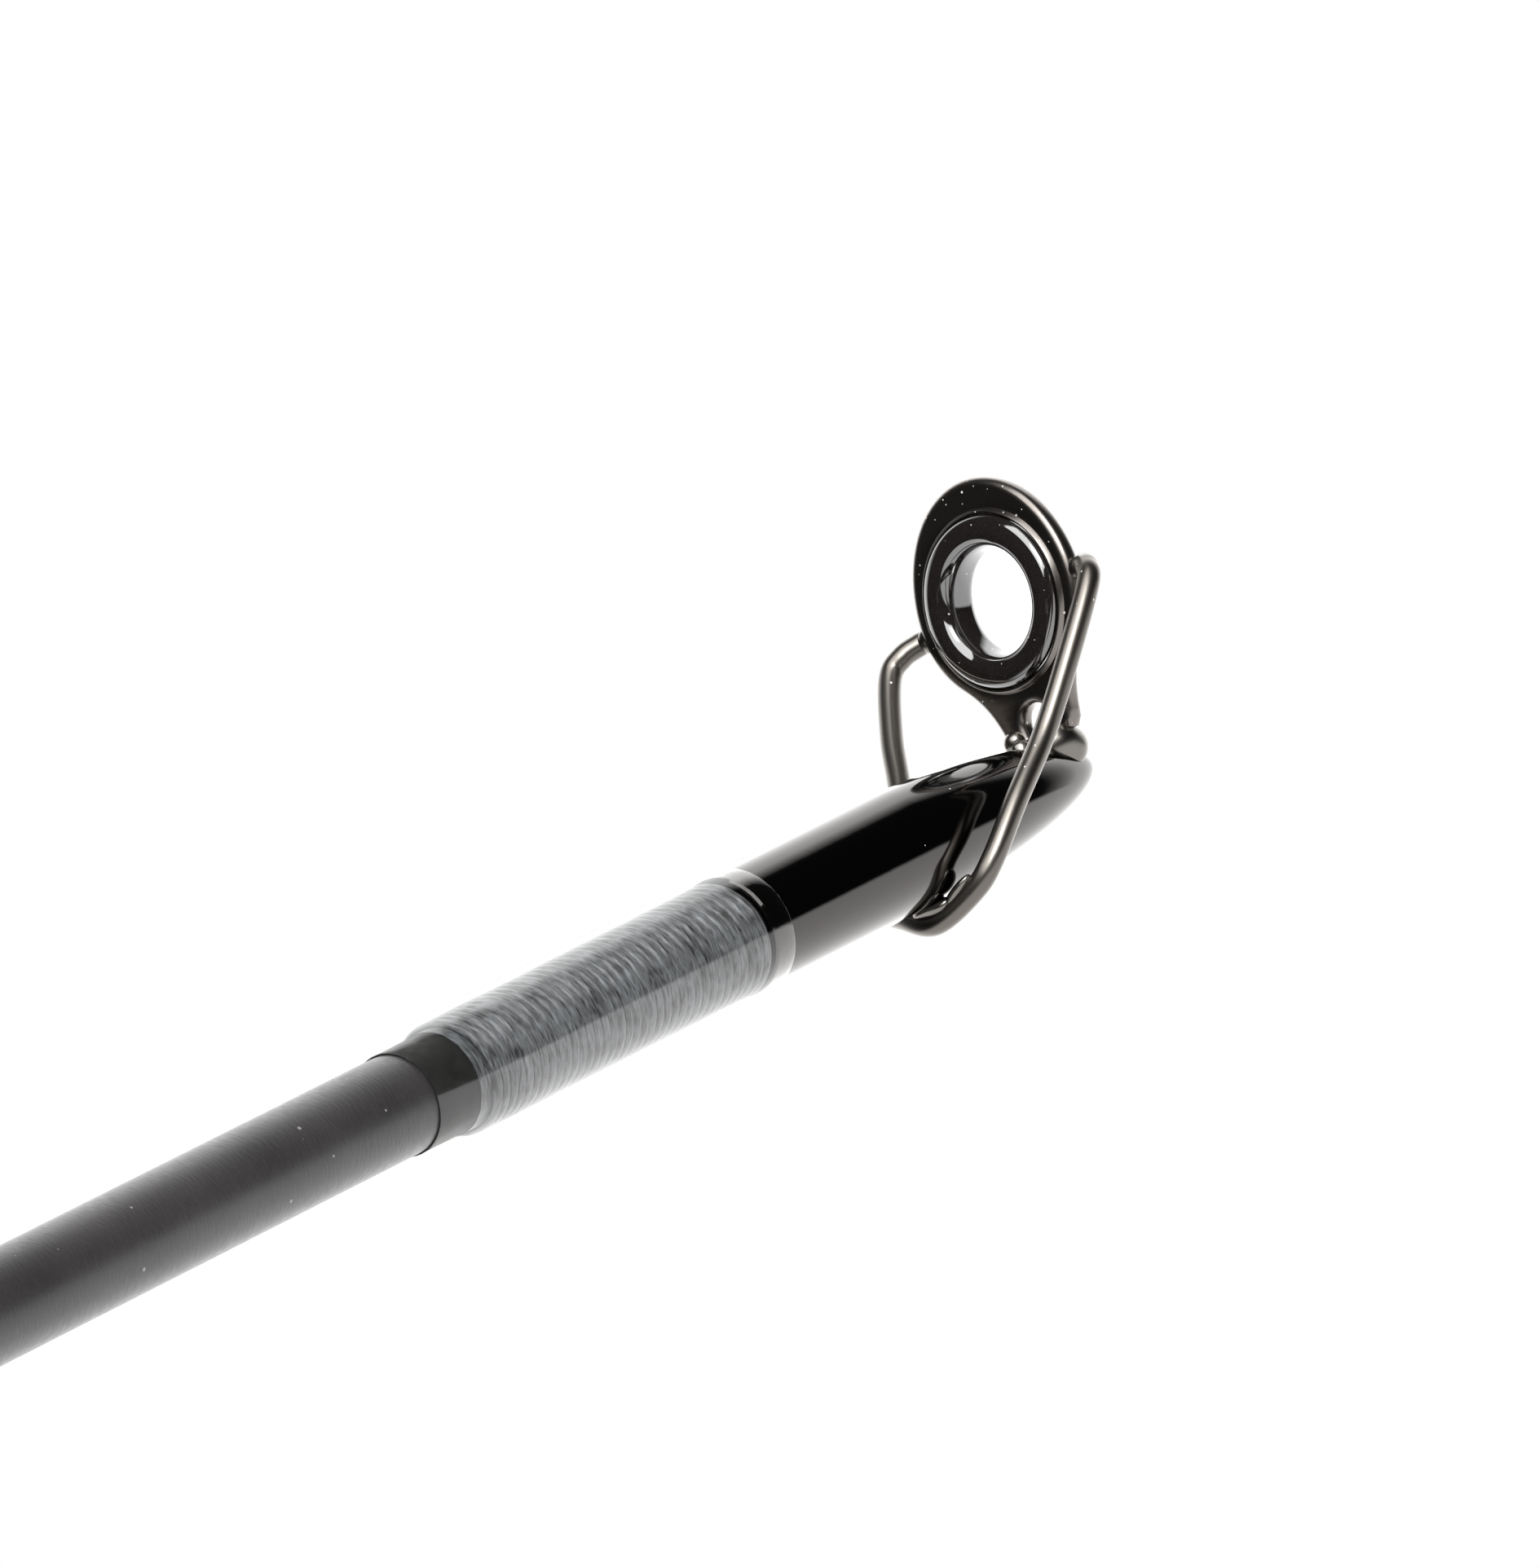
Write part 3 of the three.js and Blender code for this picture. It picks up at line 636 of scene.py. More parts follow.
# Drawing planes: a reel plate is drawn in (x, z) and its thickness runs along y.
def reel_plane(x, y, z):
    return Matrix(((1, 0, 0, x), (0, 0, -1, y), (0, 1, 0, z), (0, 0, 0, 1)))


def ring_plane():
    """Plane of the tip ring: x sideways, y up the leaning plate, z along the rod."""
    sin, cos = math.sin(RING_LEAN), math.cos(RING_LEAN)
    return Matrix(((0, sin, cos, RING_X), (1, 0, 0, 0), (0, cos, -sin, RING_Z), (0, 0, 0, 1)))


def in_ring_plane(part):
    place = ring_plane()
    return [place @ Vector(v) for v in part[0]], part[1]


def carved(name, body_part, cutters, material, body):
    """A piece whose solid has the cutters' solids taken away."""
    holders = []
    for i, (verts, faces) in enumerate([body_part, *cutters]):
        mesh = bpy.data.meshes.new("stock")
        mesh.from_pydata([Vector(v) * MM * 1000 for v in verts], [], faces)
        mesh.validate()
        holder = bpy.data.objects.new("stock", mesh)
        bpy.context.scene.collection.objects.link(holder)
        holders.append(holder)
        if i:
            cut = holders[0].modifiers.new("cut", "BOOLEAN")
            cut.operation, cut.object, cut.solver = "DIFFERENCE", holder, "EXACT"
    bpy.context.view_layer.update()
    evaluated = holders[0].evaluated_get(bpy.context.evaluated_depsgraph_get())
    mesh = bpy.data.meshes.new_from_object(evaluated)
    verts = [v.co.copy() for v in mesh.vertices]
    faces = [list(p.vertices) for p in mesh.polygons]
    for holder in holders:
        bpy.data.objects.remove(holder)
    return make_object(name, verts, faces, material, body)


def box_part(x, y, z):
    """Points and faces of a block between the given pairs."""
    verts = [Vector((i, j, k)) for i in x for j in y for k in z]
    faces = [[0, 1, 3, 2], [4, 6, 7, 5], [0, 4, 5, 1], [2, 3, 7, 6], [0, 2, 6, 4], [1, 5, 7, 3]]
    return verts, faces


def covers(piece, cad_node):
    """piece stands for the CAD node and takes its finish from the record's slot."""
    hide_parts(cad_node)
    return piece


# ---------- blank and tip ----------

NOSE_LENGTH = 6.8
NOSE_DROP = 0.15
BLANK_STATIONS = [
    (5.3, 4.5), (300, 4.0), (420, 3.1), (520, 2.4), (600, 1.75), (650, 1.3), (673, 1.105), (704, 1.06),
]


def blank_radius(x):
    for (x0, r0), (x1, r1) in zip(BLANK_STATIONS, BLANK_STATIONS[1:]):
        if x <= x1:
            return r0 + (r1 - r0) * (x - x0) / (x1 - x0)
    return BLANK_STATIONS[-1][1]


def sink_nose(point):
    """The tube's nose droops: it is flattened from above towards its end."""
    t = max(0.0, (point.x - NOSE_X + NOSE_LENGTH) / NOSE_LENGTH)
    return Vector((point.x, point.y, point.z - NOSE_DROP * t * t))


def nose_outline(steps=36):
    """[along, radius] of the rounded nose, from the straight tube to the axis."""
    outline = []
    for i in range(steps + 1):
        t = math.sin(i / steps * math.pi / 2)
        radius = TUBE_RADIUS * max(0.0, 1 - t**1.8) ** 0.526
        outline.append((NOSE_X - NOSE_LENGTH * (1 - t), radius if i < steps else 0.0))
    return outline


def thread_helix(rear, front, pitch, centre_radius, thick, wide, sides=8, per_turn=48, hump=None):
    """Points and faces of one thread wound side by side; hump gives the radius at an angle."""
    turns = int(round((front - rear) / pitch)) - 1
    start = rear + pitch / 2
    verts, faces = [], []
    count = turns * per_turn + 1
    for i in range(count):
        angle = 2 * math.pi * i / per_turn
        along = start + pitch * i / per_turn
        radius = hump(angle, along) if hump else centre_radius
        for k in range(sides):
            a = 2 * math.pi * k / sides
            r = radius + thick * math.sin(a)
            verts.append(Vector((along + wide * math.cos(a), r * math.cos(angle), r * math.sin(angle))))
    for i in range(count - 1):
        for k in range(sides):
            j = (k + 1) % sides
            a, b = i * sides, (i + 1) * sides
            faces.append([a + k, b + k, b + j, a + j])
    faces.append(list(range(sides)))
    faces.append([(count - 1) * sides + k for k in range(sides)][::-1])
    return verts, faces


def build_blank(settings):
    stations = rounded([(5.3, 0), *BLANK_STATIONS, (704, 0)], 0.3, closed=False)
    piece = turned("rod_blank", stations, sanded_glass_fibre(), "rod", segments=112)
    covers(piece, "blank")


def build_tip_wrap(settings):
    rear, front = low("tip_thread_wrap").x, high("tip_thread_wrap").x
    thread = winding_thread("nylon_winding_thread", "#0e0f10", "#626569")
    pitch = settings.thread_pitch / MM
    coil = thread_helix(rear + 0.2, front, pitch, 1.18, 0.1, pitch * 0.46, sides=10, per_turn=56)
    core = lathe_mesh([(rear, 1.12), (rear, 1.14), (front, 1.14), (front, 1.12)])
    piece = make_object("winding_thread", *merged(coil, core), thread, "rod")
    covers(piece, "tip_thread_wrap")
    wet = [(rear - 1.38, 1.09), (rear - 1.38, 1.116), (rear + 0.2, 1.116), (rear + 0.2, 1.09)]
    turned("wetted_blank", wet, resin_soaked_fibre(), "rod")
    coat_high = high("tip_epoxy_coat").y
    lip = high("tip_epoxy_coat").x
    outline = [
        (rear - 1.5, 1.12), (rear - 1.1, 1.22), (rear - 0.4, 1.32), (rear + 1.2, coat_high),
        (rear + 3.0, coat_high - 0.025), (front - 1.0, coat_high - 0.02), (front - 0.2, coat_high),
        (front + 0.4, coat_high - 0.01), (lip, 1.355), (lip, 1.325), (front + 0.03, 1.325),
        (front + 0.03, 1.3), (rear - 0.03, 1.3), (rear - 0.03, 1.12),
    ]
    outline = rounded(outline, 0.22, steps=5)
    coat = turned("clear_coat", outline, clear_epoxy(), "rod", segments=144)
    covers(coat, "tip_epoxy_coat")


def ring_border():
    """Border of the stamped ring frame in its own plane, from the left foot over the top."""
    half = 2.31
    foot = -3.12
    left = [Vector((-0.84, foot))]
    left += bezier((-0.98, -2.95), (-1.1, -2.3), (-1.3, -1.9), (-1.68, -1.5))
    left += bezier((-1.68, -1.5), (-2.06, -1.12), (-half, -0.6), (-half, 0))
    top = arc(0, 0, half, 2.64, 180, 0, 48)
    right = [Vector((-p.x, p.y)) for p in reversed(left)]
    slot = [Vector((0.36, foot))] + arc(0, -2.72, 0.4, 0.4, 0, 180, 12) + [Vector((-0.36, foot))]
    return left + top + right + slot


def build_tip_top(settings):
    plate_finish = black_chrome("black_chrome_plate", "#78736f", 0.28, 0.15)
    tube_finish = black_chrome()
    rear = TUBE_REAR
    bore_end = rear + 6.6
    profile = [(bore_end, 0), (bore_end, 1.13), (rear, 1.13), (rear, TUBE_RADIUS - 0.05), (rear + 0.05, TUBE_RADIUS)]
    tube = turned(
        "tube", profile + nose_outline(), tube_finish, "rod", segments=144, shape=sink_nose
    )
    covers(tube, "tip_tube")

    hole = arc(0, 0, 1.76, 1.76, 0, 360, 72)[:-1]
    thickness = 0.45
    plate = plate_mesh([ring_border(), hole], thickness, 0.17, ring_plane())
    back = -thickness / 2
    collar = [(back - 0.1, 1.885), (back - 0.1, 1.92), (back + 0.02, 2.0), (back + 0.1, 2.0), (back + 0.1, 1.885)]
    rim = lathe_mesh(rounded(collar, 0.06), "Y")
    rim = in_ring_plane(([Vector((v.x, v.z, v.y)) for v in rim[0]], [f[::-1] for f in rim[1]]))
    frame_piece = make_object("ring_frame", *merged(plate, rim), plate_finish, "rod")
    covers(frame_piece, "tip_ring_frame")

    section = [
        (0.02, 1.1), (-0.22, 1.13), (-0.42, 1.23), (-0.51, 1.38), (-0.51, 1.58), (-0.44, 1.77),
        (-0.35, 1.84), (-0.25, 1.84), (-0.25, 1.7), (0.33, 1.7), (0.52, 1.5), (0.5, 1.22), (0.3, 1.1),
    ]
    ring = lathe_mesh(rounded(section, 0.14, steps=5), "Y", segments=128)
    ring = in_ring_plane(([Vector((v.x, v.z, v.y)) for v in ring[0]], [f[::-1] for f in ring[1]]))
    ceramic = make_object("ceramic_ring", *ring, polished_ceramic(), "rod")
    covers(ceramic, "tip_ceramic_ring")
    build_brace()
    build_braze()


BRACE_SIDE = [
    (0.06, 2.5, 3.66), (-0.3, 2.82, 3.58), (-0.72, 3.02, 3.27), (-1.86, 2.71, 2.15), (-3.11, 2.2, 0.88),
    (-4.61, 1.95, -0.14), (-5.6, 1.58, -0.98),
]


def build_brace():
    """One wire, bent from one side of the ring frame round under the tube to the other side."""
    left = [(x, 1.04 * y, z) for x, y, z in BRACE_SIDE]
    bottom = [(-6.1, 0.9, -1.35), (-6.3, 0, -1.69), (-6.0, -1.08, -1.4)]
    right = [(x, -y, z) for x, y, z in reversed(BRACE_SIDE)]
    points = [(RING_X + x, y, z) for x, y, z in [*left, *bottom, *right]]
    wire = swept(smooth_path(points, 12), 0.248, sides=24)
    piece = make_object("brace_wire", *wire, black_chrome("drawn_black_chrome", "#6a6661", 0.34, 0.26), "rod")
    covers(piece, "tip_brace_wire")


def drop(centre, radii, turn=(0, 0, 0), seed=1):
    """Points and faces of a frozen drop of metal, a little lumpy."""
    source = random.Random(seed)
    waves = [(Vector([source.uniform(-3, 3) for _ in range(3)]), source.uniform(0, 6.3)) for _ in range(4)]
    steps, sides = 22, 32
    turn = Matrix.Rotation(turn[2], 3, "Z") @ Matrix.Rotation(turn[1], 3, "Y") @ Matrix.Rotation(turn[0], 3, "X")
    verts, faces = [], []
    for i in range(steps + 1):
        polar = math.pi * (i + 0.02) / (steps + 0.04)
        for k in range(sides):
            angle = 2 * math.pi * k / sides
            unit = Vector((math.sin(polar) * math.cos(angle), math.sin(polar) * math.sin(angle), math.cos(polar)))
            swell = 1 + 0.05 * sum(math.sin(w.dot(unit) + phase) for w, phase in waves)
            local = Vector((unit.x * radii[0], unit.y * radii[1], unit.z * radii[2])) * swell
            verts.append(Vector(centre) + turn @ local)
    for i in range(steps):
        for k in range(sides):
            j = (k + 1) % sides
            a, b = i * sides, (i + 1) * sides
            faces.append([a + k, b + k, b + j, a + j])
    faces.append(list(range(sides)))
    faces.append([steps * sides + k for k in range(sides)][::-1])
    return verts, faces


def build_braze():
    metal = black_chrome("plated_braze", "#77746f", 0.3, 0.3)
    lumps = {
        "left": [
            ((RING_X - 0.8, 0.7, 0.92), (0.24, 0.26, 0.24), 4), ((RING_X - 0.72, 0.62, 0.6), (0.4, 0.34, 0.34), 9),
            ((RING_X - 0.95, 0.48, 0.74), (0.22, 0.2, 0.2), 5),
        ],
        "right": [
            ((RING_X - 0.68, -0.3, 0.42), (0.56, 0.46, 0.52), 2),
        ],
    }
    for side, sign in (("left", 1), ("right", -1)):
        parts = [drop(centre, radii, seed=seed) for centre, radii, seed in lumps[side]]
        covers(make_object(f"braze_{side}_foot", *merged(*parts), metal, "rod"), f"braze_{side}")
        joint = drop((RING_X + 0.02, sign * 2.3, 3.64), (0.22, 0.3, 0.28), seed=12 + sign)
        make_object(f"braze_{side}_wire", *joint, metal, "rod")
    under = drop((RING_X - 6.3, 0, -TUBE_RADIUS - 0.07), (0.28, 0.55, 0.18), seed=21)
    near = drop((RING_X - 6.1, -0.6, -1.38), (0.28, 0.6, 0.16), (-0.45, 0, 0), seed=17)
    covers(make_object("braze_below", *merged(under, near), metal, "rod"), "braze_under")


# ---------- running guides ----------

GUIDE_WALL, GUIDE_RIM, GUIDE_DEPTH, FOOT_LENGTH = 0.9, 0.75, 1.4, 14.0


def hump_over_foot(base, top):
    """Winding radius round a blank that has a guide foot on its top side."""

    def radius(angle, along):
        off_top = (math.degrees(angle) - 90 + 180) % 360 - 180
        return base + (top - base) * math.exp(-((off_top / 38) ** 2))

    return radius


def foot_wrap(name, cad, thread, floor):
    rear, front = low(cad).x, high(cad).x
    base = blank_radius((rear + front) / 2) + 0.16
    coil = thread_helix(
        rear, front, 0.4, 0, 0.14, 0.205, sides=6, per_turn=28, hump=hump_over_foot(base, floor + 0.72)
    )
    covers(make_object(name, *coil, thread, "rod"), cad)


def build_guide(number, thread, frame_finish, ceramic):
    ring_node, frame_node = f"guide_{number}_ring", f"guide_{number}_frame"
    centre = middle(ring_node)
    outer = (high(ring_node).y - low(ring_node).y) / 2
    inner = outer - GUIDE_WALL
    half = GUIDE_DEPTH / 2
    lip = [(-half, inner), (-half, outer), (half, outer), (half, inner)]
    ring = turned(f"{ring_node}_insert", lip, ceramic, "rod", centre=(centre.x, 0, centre.z), soft=0.42)
    covers(ring, ring_node)

    hole = outer + 0.03
    rim = [(-0.4, hole), (-0.4, hole + GUIDE_RIM), (0.4, hole + GUIDE_RIM), (0.4, hole)]
    collar = lathe_mesh(rounded(rim, 0.22), centre=(centre.x, 0, centre.z))
    floor = low(frame_node).z
    strip = [
        (centre.x, 0, centre.z - hole - 0.35), (centre.x, 0, floor + 1.6), (centre.x - 0.35, 0, floor + 0.7),
        (centre.x - 1.4, 0, floor + 0.32), (centre.x - 6, 0, floor + 0.3), (centre.x - FOOT_LENGTH, 0, floor + 0.3),
    ]
    parts = [collar, flat_strip(smooth_path(strip, 6), 1.1, 0.3)]
    double = number == 1
    if double:
        landing = centre.x + 16
        toe = [(landing - 1, 0, floor + 0.3), (landing + 6, 0, floor + 0.3), (landing + FOOT_LENGTH, 0, floor + 0.3)]
        parts.append(flat_strip(smooth_path(toe, 4), 1.1, 0.3))
        for side in (-1, 1):
            strut = [
                (centre.x + 0.2, side * (hole + 0.45), centre.z), (centre.x + 8, side * (hole - 0.4), centre.z * 0.6),
                (landing + 0.6, side * 0.55, floor + 0.4),
            ]
            parts.append(swept(smooth_path(strut, 10), 0.55, sides=14))
    piece = make_object(f"{frame_node}_stamping", *merged(*parts), frame_finish, "rod")
    covers(piece, frame_node)
    foot_wrap(f"guide_{number}_winding", f"guide_{number}_wrap", thread, floor)
    if double:
        foot_wrap("guide_1_front_winding", "guide_1_front_wrap", thread, floor)


def flat_strip(path, half_width, half_thick):
    """A flat strip that stands across the rod, swept along a path in the rod's upright plane."""
    outline = arc(0, 0, half_width, half_thick, 0, 360, 16)[:-1]
    verts, faces = [], []
    sides = len(outline)
    for i, point in enumerate(path):
        tangent = (path[min(i + 1, len(path) - 1)] - path[max(i - 1, 0)]).normalized()
        across = Vector((0, 1, 0))
        up = tangent.cross(across)
        for p in outline:
            verts.append(point + across * p.x + up * p.y)
    for i in range(len(path) - 1):
        for k in range(sides):
            j = (k + 1) % sides
            a, b = i * sides, (i + 1) * sides
            faces.append([a + k, a + j, b + j, b + k])
    faces.append(list(range(sides))[::-1])
    faces.append([(len(path) - 1) * sides + k for k in range(sides)])
    return verts, faces


def build_guides(settings):
    thread = winding_thread("coated_winding_thread", "#141516", "#3a3c40")
    for shader in thread.node_tree.nodes:
        if shader.type == "BSDF_PRINCIPLED":
            shader.inputs["Coat Weight"].default_value = 1.0
            shader.inputs["Coat Roughness"].default_value = 0.05
    frame_finish = black_chrome("black_plated_steel", "#57565a", 0.2)
    ceramic = bpy.data.materials.get("polished_ceramic") or polished_ceramic()
    for number in range(1, 5):
        build_guide(number, thread, frame_finish, ceramic)


# ---------- handle ----------


def build_handle(settings):
    rubber, foam = moulded_rubber(), closed_cell_foam()
    nylon = glass_filled_nylon()
    black = anodised_aluminium("black_anodised_aluminium", "#2d2d30", "#6f6f72", 0.18, 0.006, 0.36)
    silver = anodised_aluminium("clear_anodised_aluminium", "#b4b5b8", "#dcdcde", 0.12, 0.003, 0.26)
    cap = [(0, 0), (0, 11.5), (1.5, 12.8), (14, 12.8), (16, 12.2), (16, 11.1), (5, 11.1), (5, 0)]
    covers(turned("butt_cap_moulding", cap, rubber, "rod", soft=0.8), "butt_cap")
    rear = [
        (5.2, 4.65), (5.2, 11), (16.2, 11), (16.4, 12.2), (40, 11.6), (75, 11), (110, 12.4),
        (127.8, 12), (129.8, 10.8), (129.8, 4.65),
    ]
    covers(turned("rear_grip_foam", rounded(rear, 12, 8), foam, "rod"), "rear_grip")
    fore = [
        (241.2, 4.65), (241.2, 11.4), (250, 11.7), (270, 10.6), (288, 8.6), (298, 6.6), (300, 5.9), (300, 4.65),
    ]
    covers(turned("fore_grip_foam", rounded(fore, 6, 8), foam, "rod"), "fore_grip")
    check = [(300.2, 4.15), (300.2, 5.9), (302.4, 5.6), (303.4, 4.6), (303.4, 4.15)]
    covers(turned("winding_check_ring", check, silver, "rod", soft=0.3), "winding_check")
    build_seat(nylon, black)
    z = -blank_radius(312)
    keeper = [
        (312, 0, z - 0.5), (316, 0, z - 0.7), (317, 0, z - 3), (320, 0, z - 3.6), (323, 0, z - 3),
        (324, 0, z - 0.7), (328, 0, z - 0.5),
    ]
    wire = swept(smooth_path(keeper, 8), 0.35, sides=14)
    piece = make_object("hook_keeper_wire", *wire, black_chrome("keeper_plate", "#57565a", 0.2), "rod")
    covers(piece, "hook_keeper")


def build_seat(nylon, black):
    tube = lathe_mesh(
        rounded([
            (130.1, 4.62), (130.1, 9), (218, 9), (218, 11.2), (220, 11.8), (238, 11.8), (241, 10.8), (241, 4.62),
        ], 0.7)
    )
    pad = box_part((158, 218), (-12, 12), (6.5, 20))
    pocket = box_part((217, 228), (-6.2, 6.2), (6.5, 8.9))
    threads = [
        lathe_mesh([(x, 8.55), (x - 0.45, 9.2), (x + 0.45, 9.2)], segments=48)
        for x in [131.6 + 1.5 * k for k in range(13)]
    ]
    seat = carved("reel_seat_body", tube, [pad, pocket, *threads], nylon, "rod")
    border = (
        bezier((185, -7), (192, -10), (193, -16), (193, -20))
        + bezier((193, -20), (193, -25), (201, -25), (201, -20))
        + bezier((201, -20), (201, -15), (206, -9), (212, -7))
        + [Vector((212, -7))]
    )
    trigger = plate_mesh([border], 7, 1.6, reel_plane(0, 0, 0))
    covers(seat, "reel_seat")
    make_object("finger_trigger", *trigger, nylon, "rod")

    x, length, radius = low("lock_nut").x, 9, 11.6
    lobes = 16

    def fluted(point):
        off = math.hypot(point.y, point.z)
        if off < 11.0:
            return point
        angle = math.atan2(point.z, point.y)
        keep = 1 - 0.05 * max(0.0, math.cos(lobes * angle)) ** 2
        return Vector((point.x, point.y * keep, point.z * keep))

    ring = [(x, 9.12), (x, radius), (x + length, radius), (x + length, 9.12)]
    nut = turned("lock_nut_ring", ring, black, "seat_nut", segments=192, soft=0.6, shape=fluted)
    covers(nut, "lock_nut")
    start, end = low("sliding_hood").x, high("sliding_hood").x
    outline = [(start, 9.12), (start, 11.2), (start + 2, 11.8), (end - 4, 11.8), (end, 11.2), (end, 9.12)]
    hood_part = lathe_mesh(rounded(outline, 0.7))
    pocket = box_part((159.4, end + 1), (-6.2, 6.2), (6.3, 8.9))
    hood = carved("sliding_hood_ring", hood_part, [pocket], black, "seat_hood")
    covers(hood, "sliding_hood")


# ---------- reel ----------


def reel_finishes():
    """The dark and the bright anodised finish and the steel that the reel shares with the seat."""
    return (
        bpy.data.materials["black_anodised_aluminium"],
        bpy.data.materials["clear_anodised_aluminium"],
        bpy.data.materials.get("ground_steel") or ground_steel(),
    )


def around_spool(profile, segments=128):
    return lathe_mesh(profile, "Y", (SPOOL.x, 0, SPOOL.z), segments)


def screw_head(x, y, z, out, radius=1.3):
    """A slotted screw head that stands out along y by the sign of out."""
    depth = 0.6
    profile = [(0, 0), (0, radius), (out * depth * 0.6, radius), (out * depth, radius * 0.7), (out * depth, 0)]
    head = lathe_mesh(profile, "Y", (x, y, z), 24)
    slot = box_part((x - 2, x + 2), sorted((y + out * 0.3, y + out * 2)), (z - 0.18, z + 0.18))
    return head, slot


def build_reel_body(settings):
    black, silver, steel = reel_finishes()
    foot_low, foot_high = low("reel_foot"), high("reel_foot")
    blade = []
    for sign in (1, -1):
        centre_x = foot_high.x - 6 if sign > 0 else foot_low.x + 6
        start = -90 if sign > 0 else 90
        blade += arc(centre_x, 0, 6, 6, start, start + 180, 16)
    place = Matrix.Translation((0, 0, foot_low.z + 1.025))
    stand = [Vector(p) for p in ((-12, -10.3), (12, -10.3), (12, 10.3), (-12, 10.3))]
    stand = rounded([(SPOOL.x + p.x, p.y) for p in stand], 3, 6)
    top = foot_high.z
    block = plate_mesh([stand], top - foot_low.z - 1.9, 0.5, Matrix.Translation((0, 0, (top + foot_low.z + 1.9) / 2)))
    foot = make_object("reel_foot_plate", *merged(plate_mesh([blade], 2.05, 0.5, place), block), silver, "rod")
    covers(foot, "reel_foot")

    rings = [
        around_spool(rounded([(s * 10.5, 16.2), (s * 10.5, 20), (s * 13, 20), (s * 13, 16.2)], 0.6))
        for s in (-1, 1)
    ]
    pillars = []
    for degrees in (20, 110, 160):
        angle = math.radians(degrees)
        x, z = SPOOL.x + 18.1 * math.cos(angle), SPOOL.z + 18.1 * math.sin(angle)
        waist = rounded([(-11, 0), (-11, 1.5), (-8.5, 1.5), (-7, 1.2), (7, 1.2), (8.5, 1.5), (11, 1.5), (11, 0)], 0.8, closed=False)
        pillars.append(lathe_mesh(waist, "Y", (x, 0, z), 40))
    bridge = rounded([(SPOOL.x + x, y) for x, y in ((-10, -10.7), (10, -10.7), (10, 10.7), (-10, 10.7))], 1)
    floor = plate_mesh([bridge], 2.3, 0.4, Matrix.Translation((0, 0, top + 1.25)))
    body = make_object("reel_frame_rings", *merged(*rings, *pillars, floor), black, "rod")
    covers(body, "reel_frame")
    build_side_plates(black, steel)


def build_side_plates(black, steel):
    left = [
        (17.5, 0), (17.5, 7.2), (17.2, 7.5), (17.2, 12.8), (17.5, 13.1), (17.5, 14), (16.6, 18.6), (15.2, 20),
        (13.05, 20), (13.05, 17.6), (14.8, 17.6), (14.8, 5.6), (13.4, 5.6), (13.4, 4.1), (16, 4.1), (16, 0),
    ]
    stock = around_spool(rounded(left, 0.5, closed=False))
    heads, slots = zip(*(
        screw_head(SPOOL.x + 15.6 * math.cos(a), 17.0, SPOOL.z + 15.6 * math.sin(a), 1)
        for a in (math.radians(d) for d in (65, 185, 305))
    ))
    plate = make_object("left_plate_cover", *stock, black, "rod")
    covers(plate, "left_side_plate")
    for i, (head, slot) in enumerate(zip(heads, slots), 1):
        carved(f"left_plate_screw_{i}", head, [slot], steel, "rod")

    end = low("right_side_plate").y
    right = [
        (end, 0), (end, 11.5), (end + 0.3, 11.8), (end + 0.3, 12.4), (end, 12.7), (end, 17), (end + 1.2, 19.5),
        (end + 2.6, 20), (-13.05, 20), (-13.05, 18.5), (end + 1.6, 18.5), (end + 1.6, 5.4), (-18.7, 5.4),
        (-18.7, 4.1), (end + 1.6, 4.1), (end + 1.6, 0),
    ]
    stock = around_spool(rounded(right, 0.5, closed=False))
    bore = lathe_mesh([(end - 1, 0), (end - 1, 2.1), (end + 3, 2.1), (end + 3, 0)], "Y", DRIVE * 1, 48)
    case = carved("gear_case_cover", stock, [bore], black, "rod")
    covers(case, "right_side_plate")
    for i, degrees in enumerate((35, 165, 215, 325), 1):
        a = math.radians(degrees)
        head, slot = screw_head(SPOOL.x + 15.2 * math.cos(a), end, SPOOL.z + 15.2 * math.sin(a), -0.8)
        carved(f"gear_case_screw_{i}", head, [slot], steel, "rod")


def build_spool(settings):
    black, silver, steel = reel_finishes()
    half = high("spool").y
    outline = [
        (-half, 1.55), (-half, 15.0), (-half + 0.45, 15.5), (-half + 0.9, 15.3), (-half + 1.7, 7), (half - 1.7, 7),
        (half - 0.9, 15.3), (half - 0.45, 15.5), (half, 15.0), (half, 1.55),
    ]
    piece = make_object("spool_turning", *around_spool(rounded(outline, 0.35)), silver, "spool_set")
    covers(piece, "spool")


def around_drive(profile, segments=96):
    return lathe_mesh(profile, "Y", (DRIVE.x, 0, DRIVE.z), segments)


